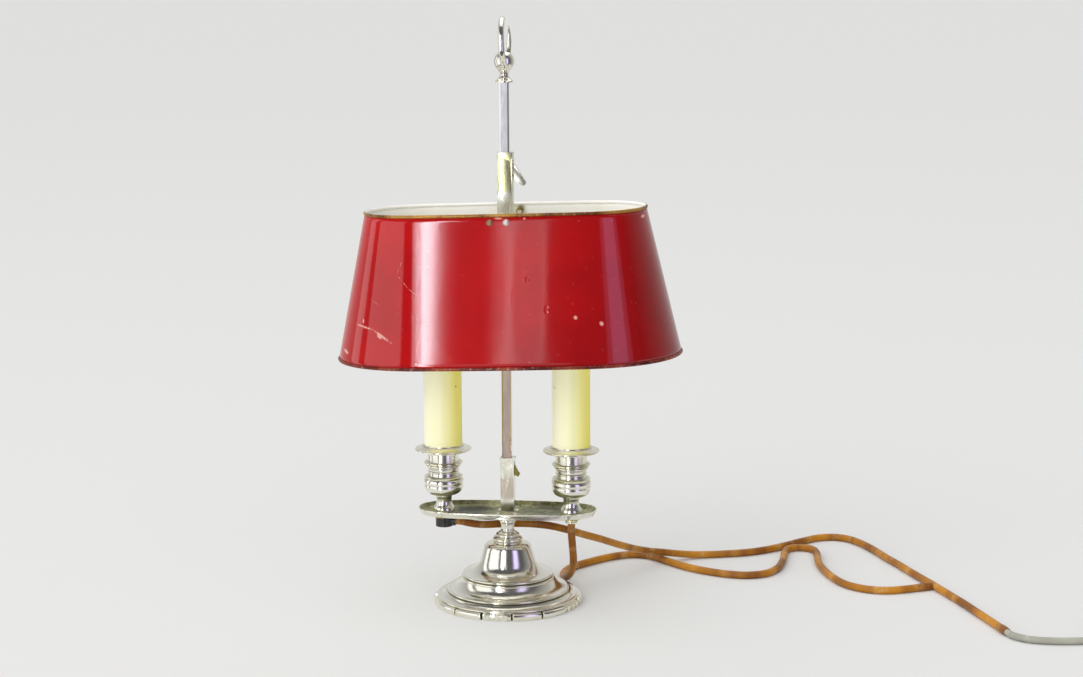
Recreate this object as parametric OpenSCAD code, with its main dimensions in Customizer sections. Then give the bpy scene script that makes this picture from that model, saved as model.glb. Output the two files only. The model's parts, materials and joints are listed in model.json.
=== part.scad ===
// Bouillotte lamp: two electric candles on a lobed tray and an oval painted shade, which slide on one
// square stem and are each held by a cam lever. All sizes are in millimetres. The stem's axis is Z,
// the table is z = 0, and the levers are on the +X side.

/* [Base] */
// Radius of the castellated foot ring
foot_r = 57.4; // [50:0.1:65]
// Height of the foot ring
foot_h = 5.2; // [4:0.1:8]
// Number of groups of three blocks round the foot ring
foot_groups = 5; // [4:1:6]
// Width of the slit between two blocks
foot_slit = 1.3; // [0.6:0.1:1.6]
// How far the dentil blocks are set back
dentil_recess = 1.7; // [1:0.1:2.4]
// Radius of a dentil
dentil_r = 1.6; // [1.2:0.1:2]
// Radius of the bell base over its lowest bead
edge_r = 54.8; // [50:0.1:56]
// Radius over the middle bead
bead2_r = 47.2; // [42:0.1:49]
// Radius over the double bead under the bell
bead1_r = 35.4; // [32:0.1:40]
// Radius of the bell at its waist
bell_r = 21.3; // [19.5:0.1:24]
// Height of the bell base above the table
bell_top = 47.6; // [45:0.1:52]
// Thickness of the spun base
spun_wall = 1.2; // [0.8:0.1:2]

/* [Post] */
// Radius of the collar under the tray
collar_r = 6.4; // [5.6:0.1:8]
// Radius over the post's large bead
post_bead_r = 11.7; // [10:0.1:14]
// Height of the turned post above the bell
post_h = 20.2; // [16:0.1:26]

/* [Stem] */
// Side of the square stem
stem_w = 7; // [6:0.1:8]
// Chamfer on the stem's corners
stem_chamfer = 0.7; // [0.3:0.1:1.2]
// Length of the square stem above the post
stem_l = 333; // [300:1:360]
// Radius of the threaded tail below the square part
tail_r = 3.2; // [2.6:0.1:3.4]
// Gap between the stem and a sleeve's bore on each side
slide_gap = 0.15; // [0.1:0.05:0.25]

/* [Finial] */
// Radius of the finial's bell skirt
skirt_r = 7; // [6:0.1:9]
// Radius of the bud
bud_r = 7.75; // [6.5:0.05:9]
// Height of the bud and its skirt together
bud_h = 22.6; // [20:0.1:26]
// Radius of the carrying hook, to the middle of its wire
hook_r = 17.4; // [15:0.1:20]
// Radius of the hook's wire
hook_wire_r = 2.35; // [1.8:0.05:2.8]
// Angle of the opening between the hook's point and its round end
hook_gap = 42; // [20:1:70]
// How far apart the hook's two ends are bent sideways
hook_spread = 3.1; // [0:0.1:5]

/* [Tray] */
// Half length of the tray
tray_half = 69.4; // [66:0.1:74]
// Radius of the round lobe at each end
lobe_r = 19.8; // [18:0.1:21]
// Half depth of the tray's middle
tray_mid = 25; // [23:0.1:28]
// Half depth of the middle part where it meets a lobe
tray_waist = 21.6; // [20.6:0.1:23]
// Height of the tray's rim over its underside
tray_rim_h = 5; // [4.4:0.1:7]
// Thickness of the tray
tray_t = 1.1; // [0.8:0.1:1.6]
// How far the rim flares out over the floor
tray_flare = 3.2; // [2:0.1:4]
// Distance of each candle from the stem
candle_x = 49.5; // [47:0.1:52]

/* [Sleeves] */
// Length of the tray's sleeve above the tray's underside
tray_sleeve_l = 44.6; // [36:0.1:56]
// Front and back wall of the tray's sleeve
tray_sleeve_wall = 1.1; // [0.9:0.05:1.6]
// Length of the shade's sleeve
shade_sleeve_l = 52; // [44:0.5:64]
// Front and back wall of the shade's sleeve
shade_sleeve_wall = 1.6; // [1.2:0.05:2.2]
// Extra wall on the lever's side, which carries the pin
lever_wall = 1; // [0.8:0.05:1.5]
// Height of the shade sleeve's top above the table
shade_sleeve_top = 348.6; // [335:0.1:355]

/* [Levers] */
// Radius of a lever's pin
pin_r = 0.6; // [0.5:0.05:0.8]
// Thickness of a lever
lever_t = 4.6; // [4:0.1:5.4]
// Gap between a lever and its slot or the stem
lever_gap = 0.12; // [0.08:0.01:0.2]
// Reach of the shade's lever, from its pin to the middle of its tip
shade_lever_l = 17.4; // [14:0.1:20]
// Angle of the shade's lever off its sleeve
shade_lever_a = 30; // [24:1:40]
// Reach of the tray's lever
tray_lever_l = 8.8; // [7:0.1:12]
// Angle of the tray's lever off its sleeve
tray_lever_a = 22; // [14:1:32]

/* [Cups] */
// Height of a candle cup
cup_h = 45.6; // [42:0.1:52]
// Radius of the cup's upper cylinder
cup_r = 12; // [11:0.1:13]
// Radius over the cup's ring and bowl
bowl_r = 15.3; // [14.4:0.1:17]
// Radius of the drip pan
pan_r = 21.8; // [20:0.1:25]
// Height of the pan's rim over the cup
pan_h = 5.6; // [5:0.1:7.5]
// Thickness of the pan
pan_t = 0.9; // [0.7:0.05:1.3]
// Radius of the threaded tube through each cup
nipple_r = 4; // [3.8:0.1:4.4]
// Width across the flats of the nut on that tube
nut_af = 17; // [14:0.5:18]

/* [Candles] */
// Outer radius of a candle cover
cover_r = 14.7; // [14:0.1:15.5]
// Wall of a candle cover
cover_wall = 1.1; // [0.8:0.05:1.3]
// Height of a candle cover
cover_h = 85; // [75:0.5:100]
// Radius of a bulb's glass
bulb_r = 17.5; // [16:0.1:19]
// Length of a bulb's glass above its cap
bulb_l = 80; // [70:0.5:90]
// Radius of a bulb's screw cap
cap_r = 6.9; // [6.5:0.05:7]

/* [Shade] */
// Height of the shade
shade_h = 109.5; // [100:0.5:125]
// Half depth of the shade's bottom opening
shade_bottom = 70; // [66:0.5:76]
// Half depth of the shade's top opening
shade_top = 46; // [42:0.5:50]
// Half length of the flat part of each long side
shade_flat = 61; // [56:0.5:68]
// Thickness of the sheet
shade_t = 0.8; // [0.6:0.05:1.2]
// Radius of the wired edges
shade_wire_r = 1.25; // [1:0.05:1.6]
// Height of the shade's bottom edge above the table
shade_z = 195.5; // [185:0.5:200]
// How far the shade leans on its bracket, in degrees
shade_lean = 1.5; // [0:0.1:2]
// Spacing of the two fasteners on each side of the shade
screw_pitch = 12.2; // [11:0.1:14]
// Radius of the bracket screws
screw_r = 1.5; // [1.2:0.05:1.6]

/* [Cord] */
// Diameter of the brown cords
cord_d = 5.8; // [5:0.1:6.2]
// Diameter of the pale twin flex
flex_d = 5; // [4.5:0.1:5.2]
// Turns of the put-away coil in its two layers
coil_turns = 5.25; // [3.25:1:6.25]
// Mean radius of the coil
coil_r = 31; // [29:0.5:36]
// Length of the plug's body
plug_l = 38; // [32:0.5:44]
// Width of the plug's body
plug_w = 26; // [24:0.5:30]
// Thickness of the plug's body
plug_t = 14; // [12:0.5:16]

/* [Hidden] */
$fn = 72;

silver = [0.80, 0.79, 0.74];
tarnish = [0.60, 0.59, 0.48];
iron = [0.30, 0.30, 0.31];
brass = [0.72, 0.62, 0.32];
ivory = [0.95, 0.92, 0.70];
red = [0.62, 0.02, 0.02];
gilt = [0.55, 0.42, 0.22];
black = [0.08, 0.08, 0.09];
brown = [0.56, 0.34, 0.14];
pale = [0.70, 0.70, 0.64];
steel = [0.68, 0.68, 0.70];

// Heights up the stem
post_top = bell_top + post_h;
stem_top = post_top + stem_l;
flange_t = 1.4;
flange_r = 10.9;
seat = 0.2;
tray_z = post_top + seat + flange_t;
floor_z = tray_z + tray_t;
cup_top = floor_z + cup_h;
nut_t = 2.6;
pan_floor = cup_top + 2.4 + pan_t;
cover_top = pan_floor + cover_h;
screw_z = shade_z + shade_h - 4.6;

// Points along an arc about c, from angle a0 to a1
function arc(c, r, a0, a1, n = 8) =
    [for (i = [0:n]) let(a = a0 + (a1 - a0) * i / n) [c[0] + r * cos(a), c[1] + r * sin(a)]];

function unit(v) = v / norm(v);

// ---- A tube through points: one ring of corners at each, carried along without twist ----
function tangents(p) = let(n = len(p)) [for (i = [0:n - 1])
    unit(p[min(i + 1, n - 1)] - p[max(i - 1, 0)])];

function carried(t, side, i = 0) = i == len(t) ? [] :
    let(s = unit(side - (side * t[i]) * t[i])) concat([s], carried(t, s, i + 1));

function ring(c, t, s, r, sides) = let(u = cross(t, s)) [for (k = [0:sides - 1])
    let(a = 360 * (k + 0.5) / sides) c + r * (cos(a) * s + sin(a) * u)];

module tube(p, radii, sides, side = [0, 0, 1]) {
    t = tangents(p);
    s = carried(t, side);
    n = len(p);
    corners = [for (i = [0:n - 1]) each ring(p[i], t[i], s[i], is_list(radii) ? radii[i] : radii, sides)];
    walls = [for (i = [0:n - 2], k = [0:sides - 1])
        let(a = i * sides + k, b = i * sides + (k + 1) % sides)
        each [[a, a + sides, b], [b, a + sides, b + sides]]];
    first = [for (k = [1:sides - 2]) [0, k, k + 1]];
    last = [for (k = [1:sides - 2]) let(o = (n - 1) * sides) [o, o + k + 1, o + k]];
    polyhedron(corners, concat(walls, first, last));
}

// ---- A wall between outlines of the same number of points, each at its own height ----
module loft(outlines, heights) {
    m = len(outlines[0]);
    n = len(outlines);
    corners = [for (i = [0:n - 1], q = outlines[i]) [q[0], q[1], heights[i]]];
    walls = [for (i = [0:n - 2], k = [0:m - 1])
        let(a = i * m + k, b = i * m + (k + 1) % m)
        each [[a, a + m, b], [b, a + m, b + m]]];
    first = [[for (k = [0:m - 1]) k]];
    last = [[for (k = [0:m - 1]) n * m - 1 - k]];
    polyhedron(corners, concat(walls, first, last));
}

// A section drawn in (distance out, height) is carried round an oval of two half circles and two
// straight sides
module round_oval(flat) {
    for (end = [0, 180])
        rotate(end) translate([flat, 0, 0]) rotate(-90) rotate_extrude(angle = 180) children();
    for (side = [0, 180])
        rotate(side) translate([-flat, 0, 0]) rotate([90, 0, 90]) linear_extrude(2 * flat) children();
}

// ================================ Base ================================
foot_in = foot_r - 7.4;
blocks = 3 * foot_groups;

module foot_section() {
    bulge = 0.5;
    polygon(concat([[foot_in, 0], [foot_r - bulge, 0]],
        [[foot_r, bulge * 2], [foot_r, foot_h - bulge * 3], [foot_r - bulge, foot_h - bulge]],
        [[foot_r - bulge * 3, foot_h], [foot_in, foot_h]]));
}

module foot_ring() {
    pitch = 360 / blocks;
    root_r = foot_r - dentil_recess - 1.6;
    turn = 183.5;
    color(silver) {
        difference() {
            rotate_extrude() foot_section();
            for (i = [0:blocks - 1])
                rotate(turn + i * pitch)
                    translate([root_r, -foot_slit / 2, -1]) cube([foot_r, foot_slit, foot_h + 2]);
            for (g = [0:foot_groups - 1])
                rotate(turn + 3 * g * pitch) rotate_extrude(angle = pitch)
                    translate([foot_r - dentil_recess, -1]) square([4, foot_h + 2]);
        }
        for (g = [0:foot_groups - 1], k = [-1:1])
            rotate(turn + (3 * g + 0.5 + k * 0.3) * pitch)
                translate([foot_r - dentil_r - 0.2, 0, 0]) cylinder(r = dentil_r, h = foot_h - 0.7);
    }
}

// The bell's side: a flare at its foot, a straight stretch that leans in, and a tight round shoulder
bell_foot = [bead1_r - 1.6, foot_h + 18.4];
post_seat_r = post_bead_r - 0.8;
lean_a = 16;
flare_r = 14;
flare_c = [bell_r + flare_r * cos(lean_a), bell_foot[1] + flare_r];
shoulder_r = 4.2;
shoulder_z = bell_top - 0.8 - shoulder_r;
straight_h = shoulder_z + shoulder_r * sin(lean_a) - (flare_c[1] - flare_r * sin(lean_a));
shoulder_c = [bell_r - straight_h * tan(lean_a) - shoulder_r * cos(lean_a), shoulder_z];
function bell_line(in) = concat(
    arc(flare_c, flare_r + in, 262, 180 + lean_a, 8),
    arc(shoulder_c, shoulder_r - in, lean_a, 82, 6));

function reversed(p) = [for (i = [len(p) - 1:-1:0]) p[i]];

// Hollow steps between the beads, as arcs whose centres lie outside the metal
cove_r = 10;
cove_c = [bead2_r - 1.4, foot_h + 16.6];
function base_outline(hole) = concat(
    [[edge_r - 0.8, foot_h]],
    arc([edge_r - 0.9, foot_h + 0.9], 0.9, -80, 100, 6),
    arc([edge_r - 1.2, foot_h + 7.2], 5.6, 262, 212, 6),
    [[bead2_r - 1.1, foot_h + 4.4]],
    arc([bead2_r - 1, foot_h + 5.6], 1, -60, 110, 6),
    arc(cove_c, cove_r, 262, 190, 8),
    [[bead1_r + 0.7, foot_h + 15.3], [bead1_r + 0.5, foot_h + 15.8], [bead1_r - 1.2, foot_h + 16.1]],
    arc([bead1_r - 1, foot_h + 17.4], 1, -60, 100, 6),
    [bell_foot],
    bell_line(0),
    [[post_seat_r + 0.2, bell_top - 0.1], [post_seat_r + 0.1, bell_top - 0.7], [hole, bell_top - 0.7]]);

// The same line drawn in by the sheet's thickness
shell_under = bell_top - 0.7 - spun_wall;
function base_inline(hole) = concat(
    [[hole, shell_under], [post_seat_r - 1, shell_under]],
    reversed(bell_line(spun_wall)),
    [[bell_foot[0] - spun_wall - 0.6, foot_h + 14.6]],
    arc(cove_c, cove_r + spun_wall, 200, 254, 6),
    [[bead2_r - 4.4, foot_h + 2.6], [edge_r - 4.4, foot_h + 0.6], [edge_r - 4, foot_h]]);

module base_shell() {
    hole = tail_r + 0.3;
    color(silver) rotate_extrude() polygon(concat(base_outline(hole), base_inline(hole)));
}

plate_t = 1.2;
module bottom_plate() {
    color(black) cylinder(r = foot_in - 0.1, h = plate_t);
}

// The iron weight fills the base's foot. Its nut is sunk in the underside, and its boss reaches the
// top of the shell, which the nut clamps to the post.
nut_room = 12;
module base_weight() {
    hole = tail_r + 0.3;
    boss_r = 8;
    boss_z = bell_foot[1] + 10;
    color(iron) rotate_extrude() polygon([
        [hole, plate_t + nut_room], [9, plate_t + nut_room], [9, plate_t], [foot_in - 1.5, plate_t],
        [foot_in - 1.5, foot_h - 0.4], [edge_r - 9.4, foot_h + 0.4], [bead2_r - 12, foot_h + 3.6],
        [bead2_r - 14.6, foot_h + 11], [bead1_r - 12.5, foot_h + 17],
        [bell_r - 4.5, boss_z], [boss_r + 1.5, boss_z + 1], [boss_r, boss_z + 3],
        [boss_r, shell_under], [hole, shell_under]]);
}

washer_t = 1;
tail_end = plate_t + 4.4;
module tail_washer() {
    color(steel) translate([0, 0, plate_t + nut_room - washer_t]) difference() {
        cylinder(r = 7.5, h = washer_t);
        translate([0, 0, -1]) cylinder(r = tail_r + 0.1, h = washer_t + 2);
    }
}

module tail_nut() {
    nut_h = 5;
    color(steel) translate([0, 0, plate_t + nut_room - washer_t - nut_h]) difference() {
        cylinder(r = 6.4, h = nut_h, $fn = 6);
        translate([0, 0, -1]) cylinder(r = tail_r + 0.05, h = nut_h + 2);
    }
}

// ================================ Post and stem ================================
module post() {
    low = bell_top - 0.7;
    color(silver) rotate_extrude() polygon(concat(
        [[tail_r + 0.1, low], [post_bead_r - 0.8, low]],
        [[post_bead_r - 0.8, low + 0.8]],
        arc([post_bead_r - 1.3, low + 3.1], 1.4, -75, 80, 6),
        [[post_bead_r - 2.6, low + 4.9], [post_bead_r - 2.9, low + 5.5]],
        arc([collar_r + 1.9, low + 6.4], 0.9, -60, 90, 5),
        [[collar_r + 0.9, low + 7.6]],
        arc([collar_r + 2, low + 11.6], 3.6, 250, 190, 5),
        [[collar_r - 1, post_top - 6.2]],
        arc([collar_r - 1.5, post_top - 3.4], 1.9, -50, 50, 6),
        [[collar_r - 0.2, post_top - 1.2], [collar_r - 0.2, post_top], [tail_r + 0.1, post_top]]));
}

function square_ring(half, cut) = [
    [half, half - cut], [half - cut, half], [cut - half, half], [-half, half - cut],
    [-half, cut - half], [cut - half, -half], [half - cut, -half], [half, cut - half]];

module stem() {
    color(silver) {
        translate([0, 0, post_top]) linear_extrude(stem_l) polygon(square_ring(stem_w / 2, stem_chamfer));
        translate([0, 0, tail_end]) cylinder(r = tail_r, h = post_top - tail_end + 1);
        translate([0, 0, stem_top - 1]) cylinder(r = tail_r - 1, h = 7);
    }
}

// ================================ Finial ================================
hook_z = stem_top + 12 + hook_r;
hook_steps = 34;
// An open ring whose round end is bent to one side and whose point to the other
hook_path = [for (i = [0:hook_steps]) let(done = i / hook_steps, a = 47 - (360 - hook_gap) * done)
    [hook_spread * (0.7 - done), hook_r * cos(a), hook_z + hook_r * sin(a)]];
module finial_bud() {
    neck_r = 2.95;
    neck_z = stem_top + 6;
    wide_z = stem_top + bud_h - 7.1;
    color(silver) difference() {
        rotate_extrude() polygon(concat(
            [[0, stem_top], [skirt_r, stem_top], [skirt_r, stem_top + 0.8]],
            arc([neck_r + 5.2, neck_z + 0.4], 5, 245, 190, 6),
            [[neck_r, neck_z + 0.6], [neck_r + 0.9, neck_z + 1.6]],
            [[bud_r * 0.62, wide_z - 6.4]],
            arc([0, wide_z], bud_r, -42, 62, 10),
            [[0, stem_top + bud_h]]));
        translate([0, 0, stem_top - 1]) cylinder(r = tail_r - 0.9, h = 7.2);
        tube(hook_path, hook_wire_r + 0.06, 16, [1, 0, 0]);
    }
}

// The hook's point is behind the stem, and its round end is over it
module finial_hook() {
    radii = [for (i = [0:hook_steps]) hook_wire_r *
        (i < 5 ? 0.08 + 0.76 * pow(i / 5, 0.7) : i > hook_steps - 3 ? [0.95, 0.8, 0.45][i - hook_steps + 2] :
        0.84 + 0.16 * min(1, (i - 5) / 14))];
    color(silver) tube(hook_path, radii, 16, [1, 0, 0]);
}

// ================================ Tray ================================
// One quarter of the outline: the lobe's arc, the cusp, and the shallow arc of the middle
lobe_x = tray_half - lobe_r;
mid_rise = tray_mid - tray_waist;
mid_half = lobe_x - 1.4;
mid_r = (mid_half * mid_half + mid_rise * mid_rise) / (2 * mid_rise);

function tray_quarter(inset) = let(
    r = lobe_r - inset,
    corner = 2.2,
    waist = tray_waist - inset,
    cusp_a = 97 - inset)
    concat(
        [for (i = [0:13]) let(a = cusp_a * i / 13) [lobe_x + r * cos(a), r * sin(a)]],
        [for (a = [20:35:90]) [mid_half - corner + corner * cos(a), waist - corner + corner * sin(a)]],
        [for (i = [7:-1:0]) let(x = (mid_half - corner - 0.6) * i / 7)
            [x, tray_mid - inset - mid_r + sqrt(mid_r * mid_r - x * x)]]);

function tray_outline(inset) = let(q = tray_quarter(inset), n = len(q)) concat(
    q,
    [for (i = [n - 2:-1:0]) [-q[i][0], q[i][1]]],
    [for (i = [1:n - 1]) [-q[i][0], -q[i][1]]],
    [for (i = [n - 2:-1:1]) [q[i][0], -q[i][1]]]);

module tray() {
    rim_w = 1;
    rim_z = tray_z + tray_rim_h;
    sleeve_hole = bore_half() + tray_sleeve_wall + 0.1;
    // From the underside's edge up the outside, over the rim and down to the floor
    steps = [[tray_flare, tray_z], [tray_flare - 0.8, tray_z + 0.3], [0.35, rim_z - 1.3],
        [0, rim_z - 0.9], [0, rim_z - 0.3], [0.4, rim_z], [rim_w, rim_z - 0.3],
        [rim_w + 0.4, rim_z - 0.9], [tray_flare + 0.4, floor_z + 0.4], [tray_flare + 1.2, floor_z]];
    color(tarnish) difference() {
        loft([for (s = steps) tray_outline(s[0])], [for (s = steps) s[1]]);
        translate([-sleeve_hole, -sleeve_hole, tray_z - 1])
            cube([2 * sleeve_hole + lever_wall, 2 * sleeve_hole, 4]);
        for (x = [-candle_x, candle_x])
            translate([x, 0, tray_z - 1]) cylinder(r = nipple_r + 0.1, h = 4);
        rivet_places() translate([0, 0, tray_z - 1]) cylinder(r = rivet_r + 0.05, h = 4, $fn = 24);
    }
}

rivet_r = 1;
module rivet_places() {
    for (a = [45:90:315]) rotate(a) translate([flange_r - 1.6, 0, 0]) children();
}

module tray_rivets() {
    color(silver) rivet_places() {
        translate([0, 0, tray_z - flange_t]) cylinder(r = rivet_r, h = flange_t + tray_t + 0.1, $fn = 24);
        translate([0, 0, floor_z]) rotate_extrude($fn = 24) polygon(concat([[0, 0]],
            arc([0, -0.9], 2, 27, 90, 4)));
    }
}

// ================================ Sleeves and cam levers ================================
// The bore is square; the wall on the lever's side is thicker and slotted for the lever
function bore_half() = stem_w / 2 + slide_gap;
function pin_x(wall) = bore_half() + (wall + lever_wall) / 2;

module sleeve_body(wall, z0, z1) {
    half = bore_half() + wall;
    translate([-half, -half, z0]) cube([2 * half + lever_wall, 2 * half, z1 - z0]);
}

module sleeve_cuts(wall, z0, z1, pin_z, toe) {
    half = bore_half();
    translate([0, 0, z0 - 1]) linear_extrude(z1 - z0 + 2)
        polygon(square_ring(half, stem_chamfer / 2));
    slot_w = lever_t + 2 * lever_gap;
    slot_low = pin_z - toe - 0.8;
    translate([half - 1, -slot_w / 2, slot_low])
        cube([wall + lever_wall + 3, slot_w, pin_z + hub_r(wall) + 0.8 - slot_low]);
    translate([pin_x(wall), 0, pin_z]) rotate([90, 0, 0])
        cylinder(r = pin_r + 0.05, h = 4 * half, center = true, $fn = 24);
}

function hub_r(wall) = pin_x(wall) - stem_w / 2 - lever_gap;

module lever(wall, reach, lean_a, toe, tip_r) {
    hub = hub_r(wall);
    tip = reach * [sin(lean_a), -cos(lean_a)];
    heel = [(wall + lever_wall) / 2 + 0.5, -toe];
    back_a = atan2(tip[1] - heel[1], tip[0] - heel[0]) - 90;
    difference() {
        translate([0, lever_t / 2, 0]) rotate([90, 0, 0]) linear_extrude(lever_t)
            polygon(concat(
                arc([0, 0], hub, 185, 90 - lean_a, 8),
                arc(tip, tip_r, 90 - lean_a, back_a, 9),
                [heel, [-hub + 0.05, -toe * 0.62]]));
        rotate([90, 0, 0]) cylinder(r = pin_r + 0.04, h = lever_t + 2, center = true, $fn = 24);
    }
}

module lever_pin(wall) {
    color(steel) rotate([90, 0, 0])
        cylinder(r = pin_r, h = 2 * (bore_half() + wall) - 0.2, center = true, $fn = 24);
}

tray_sleeve_top = tray_z + tray_sleeve_l;
tray_pin_z = tray_sleeve_top - 5;
tray_toe = 8.6;
lip = 0.5;
module tray_sleeve() {
    wall = tray_sleeve_wall;
    color(silver) difference() {
        union() {
            sleeve_body(wall, tray_z - flange_t / 2, tray_sleeve_top);
            sleeve_body(wall + lip, tray_sleeve_top - 1.6, tray_sleeve_top);
            translate([0, 0, tray_z - flange_t]) cylinder(r = flange_r, h = flange_t);
        }
        sleeve_cuts(wall, tray_z - flange_t, tray_sleeve_top, tray_pin_z, tray_toe);
        rivet_places() translate([0, 0, tray_z - flange_t - 1])
            cylinder(r = rivet_r + 0.05, h = flange_t + 2, $fn = 24);
    }
}

module tray_lever() {
    color(brass) translate([pin_x(tray_sleeve_wall), 0, tray_pin_z])
        lever(tray_sleeve_wall, tray_lever_l, tray_lever_a, tray_toe, 1.7);
}

module tray_lever_pin() {
    translate([pin_x(tray_sleeve_wall), 0, tray_pin_z]) lever_pin(tray_sleeve_wall);
}

shade_pin_z = shade_sleeve_top - 7.8;
shade_toe = 12.3;
module shade_sleeve() {
    wall = shade_sleeve_wall;
    low = shade_sleeve_top - shade_sleeve_l;
    color(silver) difference() {
        sleeve_body(wall, low, shade_sleeve_top);
        sleeve_cuts(wall, low, shade_sleeve_top, shade_pin_z, shade_toe);
    }
}

module shade_lever() {
    color(silver) translate([pin_x(shade_sleeve_wall), 0, shade_pin_z])
        lever(shade_sleeve_wall, shade_lever_l, shade_lever_a, shade_toe, 2.35);
}

module shade_lever_pin() {
    translate([pin_x(shade_sleeve_wall), 0, shade_pin_z]) lever_pin(shade_sleeve_wall);
}

// ================================ Cups, pans and candles ================================
module at_candle(side) {
    translate([side * candle_x, 0, 0]) children();
}

module cup(side) {
    foot = floor_z;
    lip_z = floor_z + 28.4;
    ring_z = floor_z + 38.6;
    neck_r = nipple_r + 2;
    color(silver) at_candle(side) rotate_extrude() polygon(concat(
        [[nipple_r + 0.05, foot], [8.5, foot], [8.5, foot + 2.6]],
        arc([neck_r + 6.6, foot + 8.6], 6.6, 222, 172, 7),
        [[neck_r + 0.1, foot + 11.4], [6.6, foot + 12.4], [6.6, foot + 13.4]],
        arc([bowl_r - 6.8, foot + 20.6], 6.6, -78, 12, 8),
        arc([bowl_r - 3.6, foot + 24.2], 3.6, -20, 40, 5),
        [[bowl_r - 0.3, lip_z - 0.5], [bowl_r - 0.7, lip_z], [bowl_r - 2.6, lip_z - 0.9]],
        [[cup_r - 0.4, lip_z - 0.4], [cup_r - 0.4, lip_z + 2.6]],
        arc([cup_r - 0.7, lip_z + 3.4], 0.7, -70, 70, 4),
        [[cup_r - 0.2, lip_z + 5], [cup_r - 0.2, ring_z - 2.6]],
        arc([cup_r + 0.6, ring_z - 1.9], 0.9, -80, 60, 5),
        [[bowl_r - 1.2, ring_z - 0.7], [bowl_r - 0.2, ring_z + 0.3]],
        [[bowl_r - 0.4, ring_z + 0.9], [cup_r + 0.8, ring_z + 0.2]],
        [[cup_r, ring_z + 0.8], [cup_r, cup_top], [nipple_r + 0.05, cup_top]]));
}

module drip_pan(side) {
    rim_z = cup_top + pan_h;
    dish_r = 5.2;
    dish_c = [cover_r + 0.3, pan_floor + dish_r];
    color(silver) at_candle(side) rotate_extrude() polygon(concat(
        [[nipple_r + 0.05, cup_top], [cup_r + 0.4, cup_top], [cup_r + 0.4, cup_top + 1.2]],
        [[cup_r - 0.2, pan_floor - pan_t]],
        arc(dish_c, dish_r + pan_t, -90, -40, 6),
        arc([pan_r - 0.5, rim_z - 0.5], 0.5, -60, 120, 5),
        [[pan_r - 1.6, rim_z - 0.35]],
        arc(dish_c, dish_r, -38, -90, 6),
        [[nipple_r + 0.05, pan_floor]]));
}

module candle(side) {
    dot_z = pan_floor + 51;
    color(ivory) at_candle(side) difference() {
        translate([0, 0, pan_floor]) cylinder(r = cover_r, h = cover_h);
        translate([0, 0, pan_floor - 1]) cylinder(r = cover_r - cover_wall, h = cover_h + 2);
        rotate(-90 - side * 52) translate([cover_r - 3, 0, dot_z]) rotate([0, 90, 0])
            cylinder(r = 0.8, h = 5, $fn = 24);
    }
}

holder_r = cover_r - cover_wall - 0.3;
holder_top = cover_top - 2;
module lampholder(side) {
    barrel = 25;
    color(black) at_candle(side) difference() {
        union() {
            translate([0, 0, pan_floor]) cylinder(r = 8.2, h = cover_h - barrel);
            translate([0, 0, holder_top - barrel]) cylinder(r = holder_r, h = barrel);
            translate([0, 0, pan_floor]) cylinder(r = holder_r, h = 3);
        }
        translate([0, 0, pan_floor - 1]) cylinder(r = nipple_r + 0.05, h = 13);
        translate([0, 0, holder_top - barrel + 2]) cylinder(r = cap_r + 0.15, h = barrel);
    }
}

// The bulb's glass is blown thin over a solid cap
glass_t = 0.8;
function bulb_side(in, neck) = concat(
    arc([bulb_r - 29, neck + 28], 29 - in, -36, 0, 8),
    [for (i = [1:8]) let(a = 90 * i / 9)
        [(bulb_r - in) * pow(cos(a), 0.8), neck + 28 + (bulb_l - 28 - in) * pow(sin(a), 1.15)]],
    [[0, neck + bulb_l - in]]);
module bulb(side) {
    cap_low = holder_top - 22;
    neck = holder_top + 0.6;
    color(pale) at_candle(side) rotate_extrude() polygon(concat(
        [[0, cap_low - 0.8], [2.4, cap_low - 0.8], [3.2, cap_low], [cap_r, cap_low + 2.4],
         [cap_r, holder_top + 0.3], [cap_r + 3, neck]],
        bulb_side(0, neck),
        reversed(bulb_side(glass_t, neck)),
        [[0, neck + 11]]));
}

nipple_end = tray_z - nut_t - 1.6;
module nipple(side) {
    color(brass) at_candle(side) translate([0, 0, nipple_end]) difference() {
        cylinder(r = nipple_r, h = pan_floor + 11 - nipple_end);
        translate([0, 0, -1]) cylinder(r = 2.2, h = pan_floor + 14 - nipple_end);
    }
}

module nipple_nuts() {
    color(brass) for (side = [-1, 1]) at_candle(side) translate([0, 0, tray_z - nut_t]) difference() {
        cylinder(r = nut_af / 2 / cos(30), h = nut_t, $fn = 6);
        translate([0, 0, -1]) cylinder(r = nipple_r + 0.05, h = nut_t + 2);
    }
}

// Under the left candle the cord leaves sideways, close under the tray
spout_z = tray_z - 6.6;
spout_x = 9;
spout_r = cord_d / 2 + 0.8;
module cord_cap_left() {
    color(black) at_candle(-1) difference() {
        union() {
            translate([0, 0, spout_z - 3.8]) cylinder(r = 6.6, h = tray_z - nut_t - spout_z + 3.8);
            translate([0, 0, spout_z]) rotate([0, 90, 0]) cylinder(r = spout_r, h = spout_x);
        }
        translate([0, 0, nipple_end]) cylinder(r = nipple_r + 0.05, h = 5);
    }
}

// Under the right candle it hangs straight down out of a bright ferrule
ferrule_low = tray_z - nut_t - 4;
module cord_ferrule_right() {
    low = ferrule_low;
    high = tray_z - nut_t;
    color(silver) at_candle(1) difference() {
        rotate_extrude() polygon([[0, low], [4, low], [4.6, low + 0.6], [4.6, low + 2], [5.4, low + 2.6],
            [5.4, high], [0, high]]);
        translate([0, 0, nipple_end]) cylinder(r = nipple_r + 0.05, h = 5);
    }
}

// ================================ Shade ================================
// The shade and its bracket lean together about the bracket's own line
module leaning() {
    translate([0, 0, screw_z]) rotate([0, -shade_lean, 0]) translate([0, 0, -screw_z]) children();
}

slope = (shade_bottom - shade_top) / shade_h;
slope_a = atan(slope);
function wall_y(z) = shade_bottom - slope * (z - shade_z);

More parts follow.
